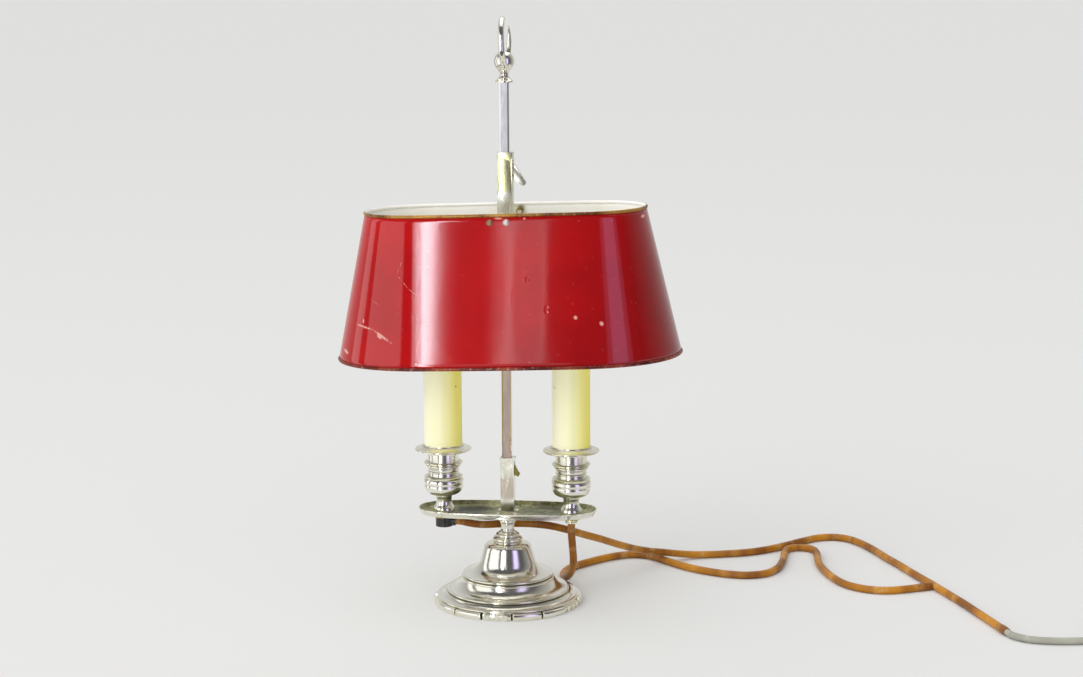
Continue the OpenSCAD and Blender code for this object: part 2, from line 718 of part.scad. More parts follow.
module shade_section() {
    polygon([[shade_bottom, shade_z], [shade_top, shade_z + shade_h],
        [shade_top - shade_t, shade_z + shade_h], [shade_bottom - shade_t, shade_z]]);
}

// Where a fastener goes through the sheet: its axis is square to the sloping side, pointing out
module screw_places(sides = [-1, 1]) {
    for (side = sides, x = [-screw_pitch / 2, screw_pitch / 2])
        translate([x, side * wall_y(screw_z), screw_z])
            rotate([-side * (90 - slope_a), 0, 0]) children();
}

module shade_shell() {
    color(red) leaning() difference() {
        round_oval(shade_flat) shade_section();
        screw_places() cylinder(r = screw_r + 0.1, h = 6, center = true, $fn = 24);
    }
}

// The sheet's edge is sunk in the wired bead by the grip
shade_grip = 0.9;
module shade_wire(z, out) {
    color(gilt) leaning() round_oval(shade_flat) difference() {
        translate([out - shade_t / 2, z]) circle(r = shade_wire_r, $fn = 24);
        shade_section();
    }
}

module shade_top_wire() {
    shade_wire(shade_z + shade_h + shade_wire_r - shade_grip, shade_top);
}

module shade_bottom_wire() {
    shade_wire(shade_z - shade_wire_r + shade_grip, shade_bottom);
}

module shade_arm(side) {
    half = bore_half() + shade_sleeve_wall;
    strap_w = 9;
    strap_t = 1.4;
    tab_w = screw_pitch + 7;
    tab_h = 8;
    strap_z = screw_z - 5.2;
    reach = wall_y(screw_z) - shade_t;
    color(silver) leaning() difference() {
        intersection() {
            union() {
                translate([-strap_w / 2, side > 0 ? half : -half - strap_t, strap_z - 4])
                    cube([strap_w, strap_t, 8]);
                translate([-strap_w / 2, side > 0 ? half : -reach - 4, strap_z])
                    cube([strap_w, reach + 4 - half, strap_t]);
                translate([0, side * wall_y(screw_z), screw_z]) rotate([-side * (90 - slope_a), 0, 0])
                    translate([-tab_w / 2, -tab_h / 2 - 1, -shade_t - strap_t])
                        cube([tab_w, tab_h + 2, strap_t]);
            }
            translate([0, 0, strap_z - 6]) arm_room(side);
        }
        screw_places([side]) cylinder(r = screw_r + 0.1, h = 10, center = true, $fn = 24);
    }
}

// All of the space inside the sheet on one side, down to the bracket
module arm_room(side) {
    rotate([90, 0, 90]) linear_extrude(60, center = true)
        polygon([[0, 0], [side * (wall_y(screw_z - 11.2) - shade_t), 0],
            [side * (wall_y(screw_z + 3.6) - shade_t), 14.8], [0, 14.8]]);
}

module shade_screws() {
    slot = 0.8;
    color(steel) leaning() screw_places() difference() {
        union() {
            translate([0, 0, -6]) cylinder(r = screw_r, h = 6.2, $fn = 24);
            rotate_extrude($fn = 32) polygon(concat([[0, 0], [2.6, 0]], arc([0, -1.6], 3.05, 32, 90, 5)));
        }
        translate([-slot / 2, -4, 0.9]) cube([slot, 8, 3]);
    }
}

module shade_nuts() {
    nut_h = 2;
    low = -shade_t - 1.4 - nut_h;
    color(brass) leaning() screw_places() difference() {
        translate([0, 0, low]) cylinder(r = 3.1, h = nut_h, $fn = 6);
        translate([0, 0, low - 1]) cylinder(r = screw_r + 0.05, h = nut_h + 2, $fn = 24);
    }
}

// ================================ Cords ================================
// Routes: round numbers, from the lamp outwards
left_route = [[spout_x - candle_x, 0, spout_z], [-37, 0, spout_z], [-32, 1, 61.5], [-26, 3, 59.9],
    [-18, 6, 58.8], [-9, 10, 58.4], [0, 12, 58.4], [15, 13, 58.4], [32, 13, 57], [46, 20, 52],
    [57, 34, 45], [68, 49, 38], [77, 64, 31], [86, 80, 24], [96, 97, 17], [105, 109, 12.5],
    [114, 118, 9.5], [125, 126, 6.5], [137, 133, 4], [152, 138, 3], [168, 142, 3], [185, 148, 3],
    [202, 159, 3], [218, 174, 3], [233, 190, 3], [246, 201, 3], [258, 204, 3], [269, 200, 3],
    [278, 189, 3], [286, 174, 3], [293, 157, 3], [300, 138, 3], [308, 119, 3], [318, 93, 3],
    [329, 66, 3], [340, 38, 3], [351, 9, 3], [361, -20, 3], [371, -49, 3], [375, -61, 3]];
right_route = [[candle_x, 0, ferrule_low], [candle_x, 0, 57], [50, 4, 43], [50, 12, 30], [47, 26, 17],
    [42, 42, 8], [38, 58, 3.5], [37, 72, 3], [40, 85, 3], [47, 97, 3], [56, 108, 3], [66, 119, 3],
    [77, 128, 3], [89, 133, 3], [101, 131, 3], [113, 121, 3], [126, 107, 3], [139, 95, 3],
    [153, 86, 3], [169, 79, 3], [185, 77, 3], [199, 83, 3], [208, 97, 3], [213, 118, 3],
    [215, 138, 3], [216, 152, 3], [219, 162, 3], [229, 167, 3], [239, 162, 3], [242, 152, 3],
    [242.5, 138, 3], [243, 120, 3], [247, 97, 3], [254, 74, 3], [265, 54, 3], [279, 44, 3],
    [294, 42, 3], [309, 47, 3], [321, 53, 3], [329, 57, 3]];
flex_route = [[375, -61, 3], [376, -64, 3], [378, -68, 3], [382, -72.5, 3], [387, -76, 3],
    [393, -78, 3], [400, -79, 3], [413, -79, 3], [428, -77, 3], [442, -76, 3], [456, -76.5, 3],
    [470, -77, 3]];
coil_centre = [484, -38];
coil_lift = 0.8;

module cord(route) {
    color(brown) tube(route, cord_d / 2, 8, [0, 0.3, 1]);
}

module flex_run() {
    color(pale) tube(concat(flex_route, [[coil_centre[0], coil_centre[1] - coil_out, coil_low]]),
        flex_d / 2, 8);
}

// Two layers: the lower winds in at a steady rate, the upper winds out again, and the flex climbs in
// the half turn where it turns back. The last stretch runs straight to the plug.
coil_pitch = flex_d + 0.6;
coil_rise = flex_d + 0.5;
coil_low = flex_d / 2 + coil_lift;
coil_swing = coil_pitch * coil_turns / 4;
coil_out = coil_r + coil_swing;
function climb(u) = u < -0.5 ? 0 : u > 0.5 ? 1 : 0.5 + 0.5 * sin(180 * u);
function coil_at(turn) = let(
    half = coil_turns / 2,
    r = coil_r + coil_swing * (abs(turn - half) / half * 2 - 1),
    a = -90 + 360 * turn)
    [coil_centre[0] + r * cos(a), coil_centre[1] + r * sin(a),
     coil_low + coil_rise * climb((turn - half) * 2)];
steps_per_turn = 24;
coil_path = [for (i = [0:floor(coil_turns * steps_per_turn + 0.5)]) coil_at(i / steps_per_turn)];
coil_end = coil_path[len(coil_path) - 1];
tail = [for (d = [flex_d * 1.4, flex_d * 2.8]) coil_end + [0, d, -0.6 * d / flex_d]];

module flex_coil() {
    gaps = [for (i = [0:len(coil_path) - 1], j = [i + steps_per_turn - 6:len(coil_path) - 1])
        if (j < len(coil_path)) norm(coil_path[i] - coil_path[j]) - flex_d];
    echo(least_coil_gap = min(gaps));
    color(pale) tube(concat(coil_path, tail), flex_d / 2, 6);
}

module coil_tie() {
    band = 0.7;
    wide = 8;
    low_r = coil_r - coil_swing - flex_d / 2 - 0.5;
    high_r = coil_out + flex_d / 2 + 0.5;
    high = coil_low + coil_rise + flex_d / 2 + 0.5;
    color(black) translate([coil_centre[0], coil_centre[1], 0]) rotate(200)
        translate([0, wide / 2, 0]) rotate([90, 0, 0]) linear_extrude(wide) difference() {
            translate([low_r - band, 0]) square([high_r - low_r + 2 * band, high + band]);
            translate([low_r, coil_lift - 0.1]) square([high_r - low_r, high - coil_lift + 0.1]);
        }
}

plug_start = tail[1];
plug_z = plug_start[2];
relief_l = 22;
module plug_body() {
    x = plug_start[0];
    y = plug_start[1];
    half = plug_w / 2;
    color(black) {
        translate([x, y, plug_z]) rotate([-90, 0, 0]) cylinder(r1 = flex_d / 2 + 0.7, r2 = 5, h = relief_l);
        translate([x, y + relief_l, plug_z - plug_t / 2]) linear_extrude(plug_t) polygon(concat(
            arc([half - 3, plug_l - 3], 3, 0, 90, 4), arc([3 - half, plug_l - 3], 3, 90, 180, 4),
            [[-half, plug_l * 0.45], [-half * 0.62, plug_l * 0.18], [-half * 0.5, -1],
             [half * 0.5, -1], [half * 0.62, plug_l * 0.18], [half, plug_l * 0.45]]));
    }
}

pin_l = 19;
module plug_pins() {
    pin_pitch = 19;
    color(steel) for (side = [-1, 1])
        translate([plug_start[0] + side * pin_pitch / 2, plug_start[1] + relief_l + plug_l, plug_z])
            rotate([-90, 0, 0]) cylinder(r = 2, h = pin_l, $fn = 32);
}

foot_ring();
base_shell();
base_weight();
bottom_plate();
tail_nut();
tail_washer();
post();
stem();
finial_bud();
finial_hook();
tray();
tray_sleeve();
tray_rivets();
tray_lever();
tray_lever_pin();
cup(-1);  // cup_left
cup(1);  // cup_right
drip_pan(-1);  // drip_pan_left
drip_pan(1);  // drip_pan_right
candle(-1);  // candle_left
candle(1);  // candle_right
lampholder(-1);  // lampholder_left
lampholder(1);  // lampholder_right
bulb(-1);  // bulb_left
bulb(1);  // bulb_right
nipple(-1);  // nipple_left
nipple(1);  // nipple_right
nipple_nuts();
cord_cap_left();
cord_ferrule_right();
shade_shell();
shade_top_wire();
shade_bottom_wire();
shade_sleeve();
shade_arm(-1);  // shade_arm_front
shade_arm(1);  // shade_arm_back
shade_screws();
shade_nuts();
shade_lever();
shade_lever_pin();
cord(left_route);  // cord_left
cord(right_route);  // cord_right
flex_run();
flex_coil();
coil_tie();
plug_body();
plug_pins();
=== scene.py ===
# %% [markdown]
# # A bouillotte lamp
# Two electric candles stand on a lobed tray, and an oval painted shade hangs over them. Both slide on
# one square stem and are held by cam levers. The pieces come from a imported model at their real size,
# which is the frame here: every surface below is built around it and moves with it.

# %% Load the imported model
import json
import math

import bmesh
import bpy
from mathutils import Matrix, Vector
from mathutils.geometry import interpolate_bezier


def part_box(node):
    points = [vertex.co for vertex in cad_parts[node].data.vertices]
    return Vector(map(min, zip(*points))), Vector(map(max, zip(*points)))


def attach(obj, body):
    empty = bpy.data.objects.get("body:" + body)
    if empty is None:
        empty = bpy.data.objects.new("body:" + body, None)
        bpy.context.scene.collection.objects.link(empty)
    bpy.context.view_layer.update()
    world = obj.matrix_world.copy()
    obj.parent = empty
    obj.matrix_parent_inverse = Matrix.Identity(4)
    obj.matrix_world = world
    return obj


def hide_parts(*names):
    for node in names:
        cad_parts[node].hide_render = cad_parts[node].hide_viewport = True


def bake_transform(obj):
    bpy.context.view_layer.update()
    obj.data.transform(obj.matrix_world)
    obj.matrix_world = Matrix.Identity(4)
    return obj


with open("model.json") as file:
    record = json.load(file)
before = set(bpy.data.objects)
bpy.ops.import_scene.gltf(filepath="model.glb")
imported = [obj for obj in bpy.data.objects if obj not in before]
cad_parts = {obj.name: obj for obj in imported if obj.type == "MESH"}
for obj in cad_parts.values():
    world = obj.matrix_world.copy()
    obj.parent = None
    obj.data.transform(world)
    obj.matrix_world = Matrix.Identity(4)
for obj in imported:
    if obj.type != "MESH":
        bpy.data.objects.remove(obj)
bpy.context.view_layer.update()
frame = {"nodes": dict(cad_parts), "record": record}

MM = 0.001
bodies = frame["record"]["behaviour"]["bodies"]
BODY_OF = {node: body for body, nodes in bodies.items() for node in nodes}
SLOT_OF = {row["node"]: row["material_slot"] for row in frame["record"]["subparts"]}

# %% [markdown]
# ## Camera
# The lamp was seen from a little to its right and from above, with a long lens, so its uprights
# stay almost parallel. The camera is turned round the upright axis, then down, then a little over.

# %% Camera
def in_scene(data):
    """A new object in the scene with the data's own name."""
    made = bpy.data.objects.new(data.name, data)
    bpy.context.scene.collection.objects.link(made)
    return made


camera_reach, camera_height = 1.59, 0.467
camera_azimuth, pan, tilt, roll = (math.radians(a) for a in (6.8, -0.97, 9.31, -0.28))
camera_data = bpy.data.cameras.new("camera")
camera_data.sensor_width, camera_data.lens = 36, 70.21
camera = in_scene(camera_data)
turn = Matrix.Rotation(camera_azimuth + pan, 4, "Z") @ Matrix.Rotation(math.pi / 2 - tilt, 4, "X")
turn = turn @ Matrix.Rotation(roll, 4, "Z")
place = Vector((math.sin(camera_azimuth), -math.cos(camera_azimuth), 0)) * camera_reach
camera.matrix_world = Matrix.Translation(place + Vector((0, 0, camera_height))) @ turn
bpy.context.scene.camera = camera
bpy.context.scene.view_settings.view_transform = "Standard"
print("camera at", [round(v, 3) for v in camera.matrix_world.translation])

# %% [markdown]
# ## Materials, node by node
# A finish is a small recipe: noise that stands for what happened to the surface, ramps that turn it
# into colour and roughness, and a bump for what the hand would feel. The classes below add one node
# at a time and wire it as it is made, so that each recipe reads from top to bottom.

# %% A finish and its nodes
def screen(red, green, blue):
    """A colour given as it looks on screen, 0 to 255, as the linear values that a shader takes."""
    return tuple((c / 255 / 12.92) if c < 10 else ((c / 255 + 0.055) / 1.055) ** 2.4
                 for c in (red, green, blue)) + (1.0,)


class Nodes:
    """Adds nodes to a tree. An input is a value or another node's output."""

    def __init__(self, tree):
        self.tree = tree

    def feed(self, socket, value):
        if isinstance(value, bpy.types.NodeSocket):
            self.tree.links.new(value, socket)
        else:
            socket.default_value = value

    def add(self, kind, inputs, output=0, **settings):
        node = self.tree.nodes.new("ShaderNode" + kind)
        for name, value in settings.items():
            setattr(node, name, value)
        for name, value in inputs.items():
            self.feed(node.inputs[name], value)
        return node.outputs[output]

    def range(self, value, low, high, to_low=0.0, to_high=1.0):
        return self.add("MapRange", {"Value": value, "From Min": low, "From Max": high,
                                     "To Min": to_low, "To Max": to_high}, clamp=True)

    def mix(self, factor, a, b):
        return self.add("Mix", {0: factor, 6: a, 7: b}, output=2, data_type="RGBA")

    def sums(self, operation, a, b, c=0.5):
        return self.add("Math", {0: a, 1: b, 2: c}, operation=operation)

    def times(self, a, b):
        return self.sums("MULTIPLY", a, b)

    def plus(self, a, b):
        return self.sums("ADD", a, b)

    def most(self, *values):
        """The largest of several masks."""
        largest = values[0]
        for value in values[1:]:
            largest = self.sums("MAXIMUM", largest, value)
        return largest


class Finish(Nodes):
    def __init__(self, name, **values):
        self.material = bpy.data.materials.new(name)
        self.material.use_nodes = True
        super().__init__(self.material.node_tree)
        self.set({key.replace("_", " ").title(): value for key, value in values.items()})

    def set(self, values):
        """Values or other nodes' outputs for the shader's own sockets."""
        for name, value in values.items():
            self.feed(self.tree.nodes["Principled BSDF"].inputs[name.replace("Ior", "IOR")], value)

    def attribute(self, name):
        return self.add("Attribute", {}, output=2, attribute_name=name)

    def where(self):
        """The place on the lamp, in metres."""
        return self.add("TexCoord", {}, output=3)

    def place(self, axis):
        """How far along the lamp's X, Y or Z, in metres."""
        return self.add("SeparateXYZ", {"Vector": self.where()}, output="XYZ".index(axis))

    def noise(self, scale, detail=4, stretch=(1, 1, 1)):
        """Noise whose spots are about 1 / scale metres across."""
        where = self.add("Mapping", {"Vector": self.where(), "Scale": stretch})
        return self.add("TexNoise", {"Vector": where, "Scale": scale, "Detail": detail,
                                     "Roughness": 0.55})

    def noise_along(self, attribute, scale, detail):
        """Noise along a value that is stored on the mesh."""
        return self.add("TexNoise", {"W": self.attribute(attribute), "Scale": scale,
                                     "Detail": detail}, noise_dimensions="1D")

    def rubbed(self, tone, amount, bright):
        """The tone with its ridges rubbed bright."""
        return self.mix(self.times(self.attribute("ridge"), amount), tone, bright)

    def specks(self, scale, size):
        """Small round spots, some of each cell's width across: 1 on a spot and 0 elsewhere."""
        distance = self.add("TexVoronoi", {"Vector": self.where(), "Scale": scale, "Randomness": 1})
        return self.range(distance, size, size * 0.6)

    def spot(self, centre, radius):
        """1 at a place on the lamp, in millimetres, falling to 0 at the radius."""
        away = self.add("VectorMath", {0: self.where(), 1: [c * MM for c in centre]}, output=1,
                        operation="DISTANCE")
        return self.range(away, radius * MM, radius * MM * 0.5)

    def stroke(self, ax, az, bx, bz, width):
        """1 along a line on the front, between two places in millimetres, and 0 beside it."""
        half = math.hypot(bx - ax, bz - az) / 2 + width
        where = self.add("Mapping", {"Vector": self.where(),
                                     "Location": ((ax + bx) / 2 * MM, 0, (az + bz) / 2 * MM),
                                     "Rotation": (0, -math.atan2(bz - az, bx - ax), 0),
                                     "Scale": (half * MM, 10, width * MM)}, vector_type="TEXTURE")
        return self.range(self.add("VectorMath", {0: where}, output=1, operation="LENGTH"), 1, 0.5)

    def strokes(self, *lines):
        return self.most(*(self.stroke(*line) for line in lines))

    def bump(self, height, depth, *also):
        """Lets the surface's slope follow a height of 0 to 1 times the depth in millimetres."""
        slope = self.add("Bump", {"Height": height, "Distance": depth * MM})
        self.set({socket: slope for socket in ("Normal",) + also})

    def done(self, tone, grain, smooth, rough, depth):
        """The material, whose fine grain sets both its roughness and its relief."""
        self.set({"Base Color": tone, "Roughness": self.range(grain, 0.3, 0.7, smooth, rough)})
        self.bump(grain, depth)
        return self.material


# %% [markdown]
# ## Silver plate
# The base, post and cups are brass, spun or cast, and plated with silver. Plate is bright where it is
# rubbed and yellows in the hollows. Two values stored on each corner of a mesh say which is which:
# ridge and hollow. A third, profile, runs along a turned outline, and carries the lathe's fine lines.

# %% Silver plate
def silver_plate(name, warm=0.5, rub=0.9):
    look = Finish(name, metallic=1.0)
    cloud, fine = look.noise(22, 5), look.noise(160)
    tone = look.mix(look.range(cloud, 0.38, 0.68, 0, warm), screen(240, 239, 232),
                    screen(226, 216, 184))
    hollow = look.times(look.attribute("hollow"), look.range(fine, 0.3, 0.6, 0.5, 1.0))
    tone = look.mix(look.times(hollow, 0.95), tone, screen(84, 76, 44))
    tone = look.rubbed(tone, rub, screen(248, 244, 208))
    lathe = look.noise_along("profile", 2.4, 3)
    dull = look.plus(look.range(cloud, 0.35, 0.7, 0.09, 0.2), look.times(hollow, 0.25))
    look.set({"Base Color": tone, "Roughness": look.plus(dull, look.range(lathe, 0.4, 0.7, 0, 0.06))})
    look.bump(look.plus(lathe, look.times(fine, 1.5)), 0.02)
    return look.material


# %% [markdown]
# ## Tarnished and worn plate
# The tray's floor is never polished between the cups, so it has gone olive and grey-brown in specks,
# and dark in patches. The shade's sleeve is handled to move the shade: there the silver is rubbed
# through to yellow brass, in a patch on the front between two heights. The tray's sleeve has the same
# patch as a painted pinkish-brown reflection, and the stem is painted pinkish brown lower down as a
# reflection too.

# %% Tarnished and worn plate
def tarnished_plate():
    look = Finish("tarnished plate", metallic=0.9)
    cloud, fine = look.noise(34, 6), look.noise(300, 5)
    tone = look.mix(look.range(cloud, 0.36, 0.64), screen(132, 132, 98), screen(188, 188, 150))
    patches = look.most(*(look.spot(centre, radius) for centre, radius
                          in (((-27, 6, 72), 21), ((27, 6, 72), 21), ((4, -16, 72), 9))))
    tone = look.mix(look.times(patches, look.range(cloud, 0.62, 0.4, 0.45, 0.95)), tone,
                    screen(26, 26, 18))
    tone = look.mix(look.range(fine, 0.5, 0.66, 0, 0.7), tone, screen(66, 62, 38))
    pale = look.times(look.specks(330, 0.17), look.range(look.noise(50), 0.5, 0.6))
    tone = look.mix(pale, tone, screen(222, 224, 196))
    tone = look.mix(look.specks(420, 0.16), tone, screen(60, 54, 38))
    tone = look.mix(look.attribute("ridge"), tone, screen(236, 236, 196))
    look.set({"Base Color": tone, "Roughness": look.range(cloud, 0.3, 0.7, 0.3, 0.5)})
    look.bump(fine, 0.05)
    return look.material


def worn_plate(name, patch_low, patch_high, rubbed, polish=0.2):
    """A sleeve with a patch on its front face between two heights in mm, with a ragged border: rubbed
    brass on the shade's sleeve, a painted reflection on the tray's.
    """
    look = Finish(name, metallic=1.0)
    ragged, front_face = 20 * MM, (-4.4 * MM, -4.9 * MM)
    cloud, fine = look.noise(55, 5), look.noise(420, stretch=(1, 1, 0.25))
    high = look.plus(look.place("Z"), look.times(look.sums("SUBTRACT", cloud, 0.5), ragged))
    inside = look.times(look.range(high, patch_low * MM, (patch_low + 4) * MM),
                        look.range(high, patch_high * MM, (patch_high - 3) * MM))
    inside = look.times(inside, look.range(look.place("Y"), *front_face))
    tone = look.mix(look.range(cloud, 0.4, 0.65), screen(228, 227, 216), screen(206, 200, 178))
    # The patch: rubbed brass on the shade sleeve, a painted pinkish-brown reflection on the tray
    # sleeve.
    tone = look.mix(look.times(inside, look.range(fine, 0.3, 0.6, 0.5, 0.95)), tone, rubbed)
    tone = look.rubbed(tone, 0.7, screen(250, 248, 232))
    return look.done(tone, fine, polish, polish + 0.16, 0.03)


def stem_plate():
    look = Finish("stem plate", metallic=1.0)
    cloud, fine = look.noise(45, 5, stretch=(1, 1, 0.3)), look.noise(420, stretch=(1, 1, 0.25))
    # Painted reflection: from here down the stem is toned pinkish brown, as its silver mirrors a dark,
    # warm room, and is not worn.
    unreflected_z, reflection_z = 310 * MM, 190 * MM
    worn = look.range(look.place("Z"), unreflected_z, reflection_z)
    tone = look.mix(worn, screen(230, 231, 240), screen(192, 172, 160))
    tone = look.mix(look.range(cloud, 0.42, 0.66, 0, 0.6), tone, screen(182, 168, 150))
    tone = look.rubbed(tone, 0.9, screen(252, 250, 238))
    return look.done(tone, fine, 0.08, 0.18, 0.015)


# %% [markdown]
# ## Small metals, mouldings, glass and lining
# Brass under the tray has dulled to olive, steel pins and nuts stay grey, and the weight in the base
# is a rough casting. One recipe of two colours in clouds serves them, and the black mouldings, the
# opal glass and the shade's white lining too.

# %% Two colours in clouds
def two_tone(name, tones, cloud, blend, grain, polish, depth, rub=0.0, **values):
    """The clouds and the grain are noise. Ridges are rubbed back to the first colour."""
    look = Finish(name, **values)
    tone = look.mix(look.range(look.noise(*cloud), *blend), *tones)
    if rub:
        tone = look.rubbed(tone, rub, tones[0])
    return look.done(tone, look.noise(*grain), *polish, depth)


def plain_metal(name, light, dark, polish, grain=300, relief=0.03):
    return two_tone(name, (light, dark), (grain * 0.2, 4), (0.35, 0.65), (grain, 4),
                    (polish, polish + 0.2), relief, rub=0.5, metallic=1.0)


def black_moulding(name, tone, shine):
    return two_tone(name, (tone, screen(74, 70, 64)), (40, 4), (0.5, 0.8, 0, 0.5), (700, 3),
                    (shine, shine + 0.15), 0.03, ior=1.5)


def fastener_metal():
    """The left fastener of a pair is a dull brown rivet, the right one a screw with a bright edge."""
    look = Finish("bracket fasteners", metallic=0.8)
    right = look.range(look.place("X"), -0.4 * MM, 0.4 * MM)
    tone = look.mix(right, screen(122, 92, 84), screen(84, 70, 68))
    edge = look.mix(right, screen(176, 140, 104), screen(248, 238, 228))
    return look.done(look.rubbed(tone, 1.6, edge), look.noise(900), 0.3, 0.5, 0.04)


# %% [markdown]
# ## Candle covers and paint
# The covers are cast in a waxy cream plastic that lets a little light in under its skin, and their
# colour holds painted light and shade: pale cream on the lit left, deeper yellow on the shaded right.
# The shade is sheet brass in red gloss paint with the scratches, chips and dents of use, and it is
# painted darker towards its right end, as shade where the light does not reach. Its wired edges
# were gilt and have worn to brown.

# %% Candle plastic, paint and gilt
def candle_plastic():
    look = Finish("candle plastic", subsurface_weight=0.06, subsurface_scale=0.003, roughness=0.38,
                  ior=1.46, subsurface_radius=(1.0, 0.8, 0.35))
    cloud, fine = look.noise(28, 3, stretch=(1, 1, 0.4)), look.noise(500, 3)
    apart, left_side, right_side = 99 * MM, 36 * MM, 65 * MM
    across = look.sums("WRAP", look.place("X"), apart, 0.0)     # alike on both covers
    # Painted light and shade: each cover runs from pale cream on its lit left side to deep yellow on
    # its shaded right.
    lit_to_shaded = look.range(look.plus(across, look.times(cloud, 4 * MM)), left_side, right_side)
    ramp = look.add("ValToRGB", {"Fac": lit_to_shaded})
    stops = ramp.node.color_ramp.elements
    stops[0].position, stops[0].color = 0.1, screen(255, 252, 222)
    stops[1].position, stops[1].color = 0.6, screen(255, 251, 198)
    stops.new(0.97).color = screen(255, 242, 112)
    tone = look.mix(look.range(cloud, 0.4, 0.7, 0, 0.3), ramp, screen(255, 251, 190))
    # Deeper yellow in the hollows: a painted shade.
    look.set({"Base Color": look.mix(look.attribute("hollow"), tone, screen(206, 196, 70))})
    look.bump(look.plus(look.times(cloud, 3), fine), 0.04)
    return look.material


def red_paint():
    look = Finish("red paint", coat_weight=1.0, coat_roughness=0.08, coat_ior=1.6, ior=1.5,
                  specular_ior_level=0.0)
    cloud, peel = look.noise(16), look.noise(620, 3)
    streak = look.noise(900, 3, stretch=(1, 1, 0.05))
    tone = look.mix(look.range(cloud, 0.35, 0.65), screen(186, 2, 7), screen(168, 1, 7))
    # Painted shade: the paint darkens towards the shade's right end, away from the light, and is not
    # aged there.
    aged = look.range(look.plus(look.place("X"), look.times(cloud, 0.06)), 0.04, 0.17, 0, 0.75)
    tone = look.mix(aged, tone, screen(96, 1, 6))
    scratches = look.strokes(
        (-108, 222.9, -92.9, 220.6, 0.9), (-92.9, 220.6, -77.4, 211.6, 1.1),
        (-101.7, 227, -101.7, 225, 0.9), (-89, 216.8, -86.6, 215, 1.2))
    scratches = look.times(scratches, look.range(streak, 0.38, 0.52))
    nicks = look.strokes(
        (58.1, 232.8, 58.4, 232.4, 1.5), (77, 228.6, 77.6, 227.8, 1.6),
        (104.9, 302.7, 105, 302.6, 1.5), (-118.6, 201.4, -116, 200.4, 1.6),
        (-44.8, 304.3, -44, 304.2, 1.3), (-2.5, 303.4, 3.2, 303.2, 0.9))
    hairlines = look.strokes(
        (-75, 262, -66, 252, 0.35), (-66, 252, -59, 247, 0.35), (-71, 272, -75, 262, 0.3),
        (-64, 232, -50, 226, 0.35), (-96, 243, -88, 238, 0.3))
    hairlines = look.times(hairlines, look.range(streak, 0.42, 0.6, 0, 0.6))
    low_edge, top_edge = (201.5 * MM, 198.5 * MM), (300 * MM, 303.5 * MM)
    near_edge = look.most(*(look.range(look.place("Z"), *band) for band in (low_edge, top_edge)))
    chips = look.times(look.specks(150, 0.2), look.range(look.noise(60), 0.5, 0.56))
    chips = look.times(chips, look.plus(look.times(near_edge, 0.96), 0.04))
    front = look.range(look.place("Y"), 1 * MM, -1 * MM)
    pale = look.most(look.times(look.most(scratches, nicks), front), chips, hairlines)
    look.set({"Base Color": look.mix(pale, tone, screen(222, 160, 148)),
              "Roughness": look.range(peel, 0.3, 0.7, 0.32, 0.44)})
    dents = look.strokes((36.8, 239.6, 36.8, 237, 1.9), (22.5, 260.6, 22.4, 258.6, 1.6),
                         (11.6, 252.3, 11.8, 240.8, 0.7))
    brushed = look.noise(260, 3, stretch=(0.25, 0.25, 1))
    height = look.plus(look.times(peel, 0.4), look.times(pale, -3))
    height = look.plus(height, look.times(brushed, 0.9))
    look.bump(look.plus(height, look.times(dents, -6)), 0.03, "Coat Normal")
    return look.material


def worn_gilt(name, worn, bright, pale):
    look = Finish(name, metallic=0.7, ior=1.5)
    fine = look.noise(500)
    tone = look.mix(look.range(look.noise(60, 5), 0.4, 0.62), bright, worn)
    tone = look.mix(look.range(fine, 0.58, 0.72), tone, pale)
    return look.done(tone, fine, 0.28, 0.5, 0.04)


# %% [markdown]
# ## Cord sheath
# The old brown sheath is a waxy plastic: ochre where it is clean, darker where it has aged, and
# rubbed pale in short stretches. The value named along, stored on the tube in metres from its start,
# lets the stretches follow the cord wherever it bends.

# %% Cord sheath
def sheath(name, clean, aged, scuffed, scuffs):
    look = Finish(name, ior=1.48, specular_ior_level=0.35)
    stretch, short = look.noise_along("along", 22, 3), look.noise_along("along", 75, 4)
    fine = look.noise(380)
    tone = look.mix(look.range(stretch, 0.38, 0.62), clean, aged)
    rubbed = look.times(look.range(short, 0.56, 0.66), look.range(fine, 0.4, 0.58))
    tone = look.mix(look.times(rubbed, scuffs), tone, scuffed)
    return look.done(tone, fine, 0.3, 0.5, 0.06)


# %% All finishes
SILVER = silver_plate("silver plate")
CREAM_SILVER = silver_plate("pan silver", warm=0.75, rub=1.0)
TARNISH = tarnished_plate()
SHADE_SLEEVE_PLATE = worn_plate("worn plate, shade sleeve", 316, 349, screen(208, 206, 146))
# On the tray sleeve the front patch is a painted pinkish-brown reflection, not wear.
TRAY_SLEEVE_PLATE = worn_plate("tray sleeve plate, painted reflection", 81, 101, screen(176, 152, 132), polish=0.1)
STEM_PLATE = stem_plate()
BRASS = plain_metal("olive brass", screen(168, 150, 74), screen(108, 96, 46), 0.28)
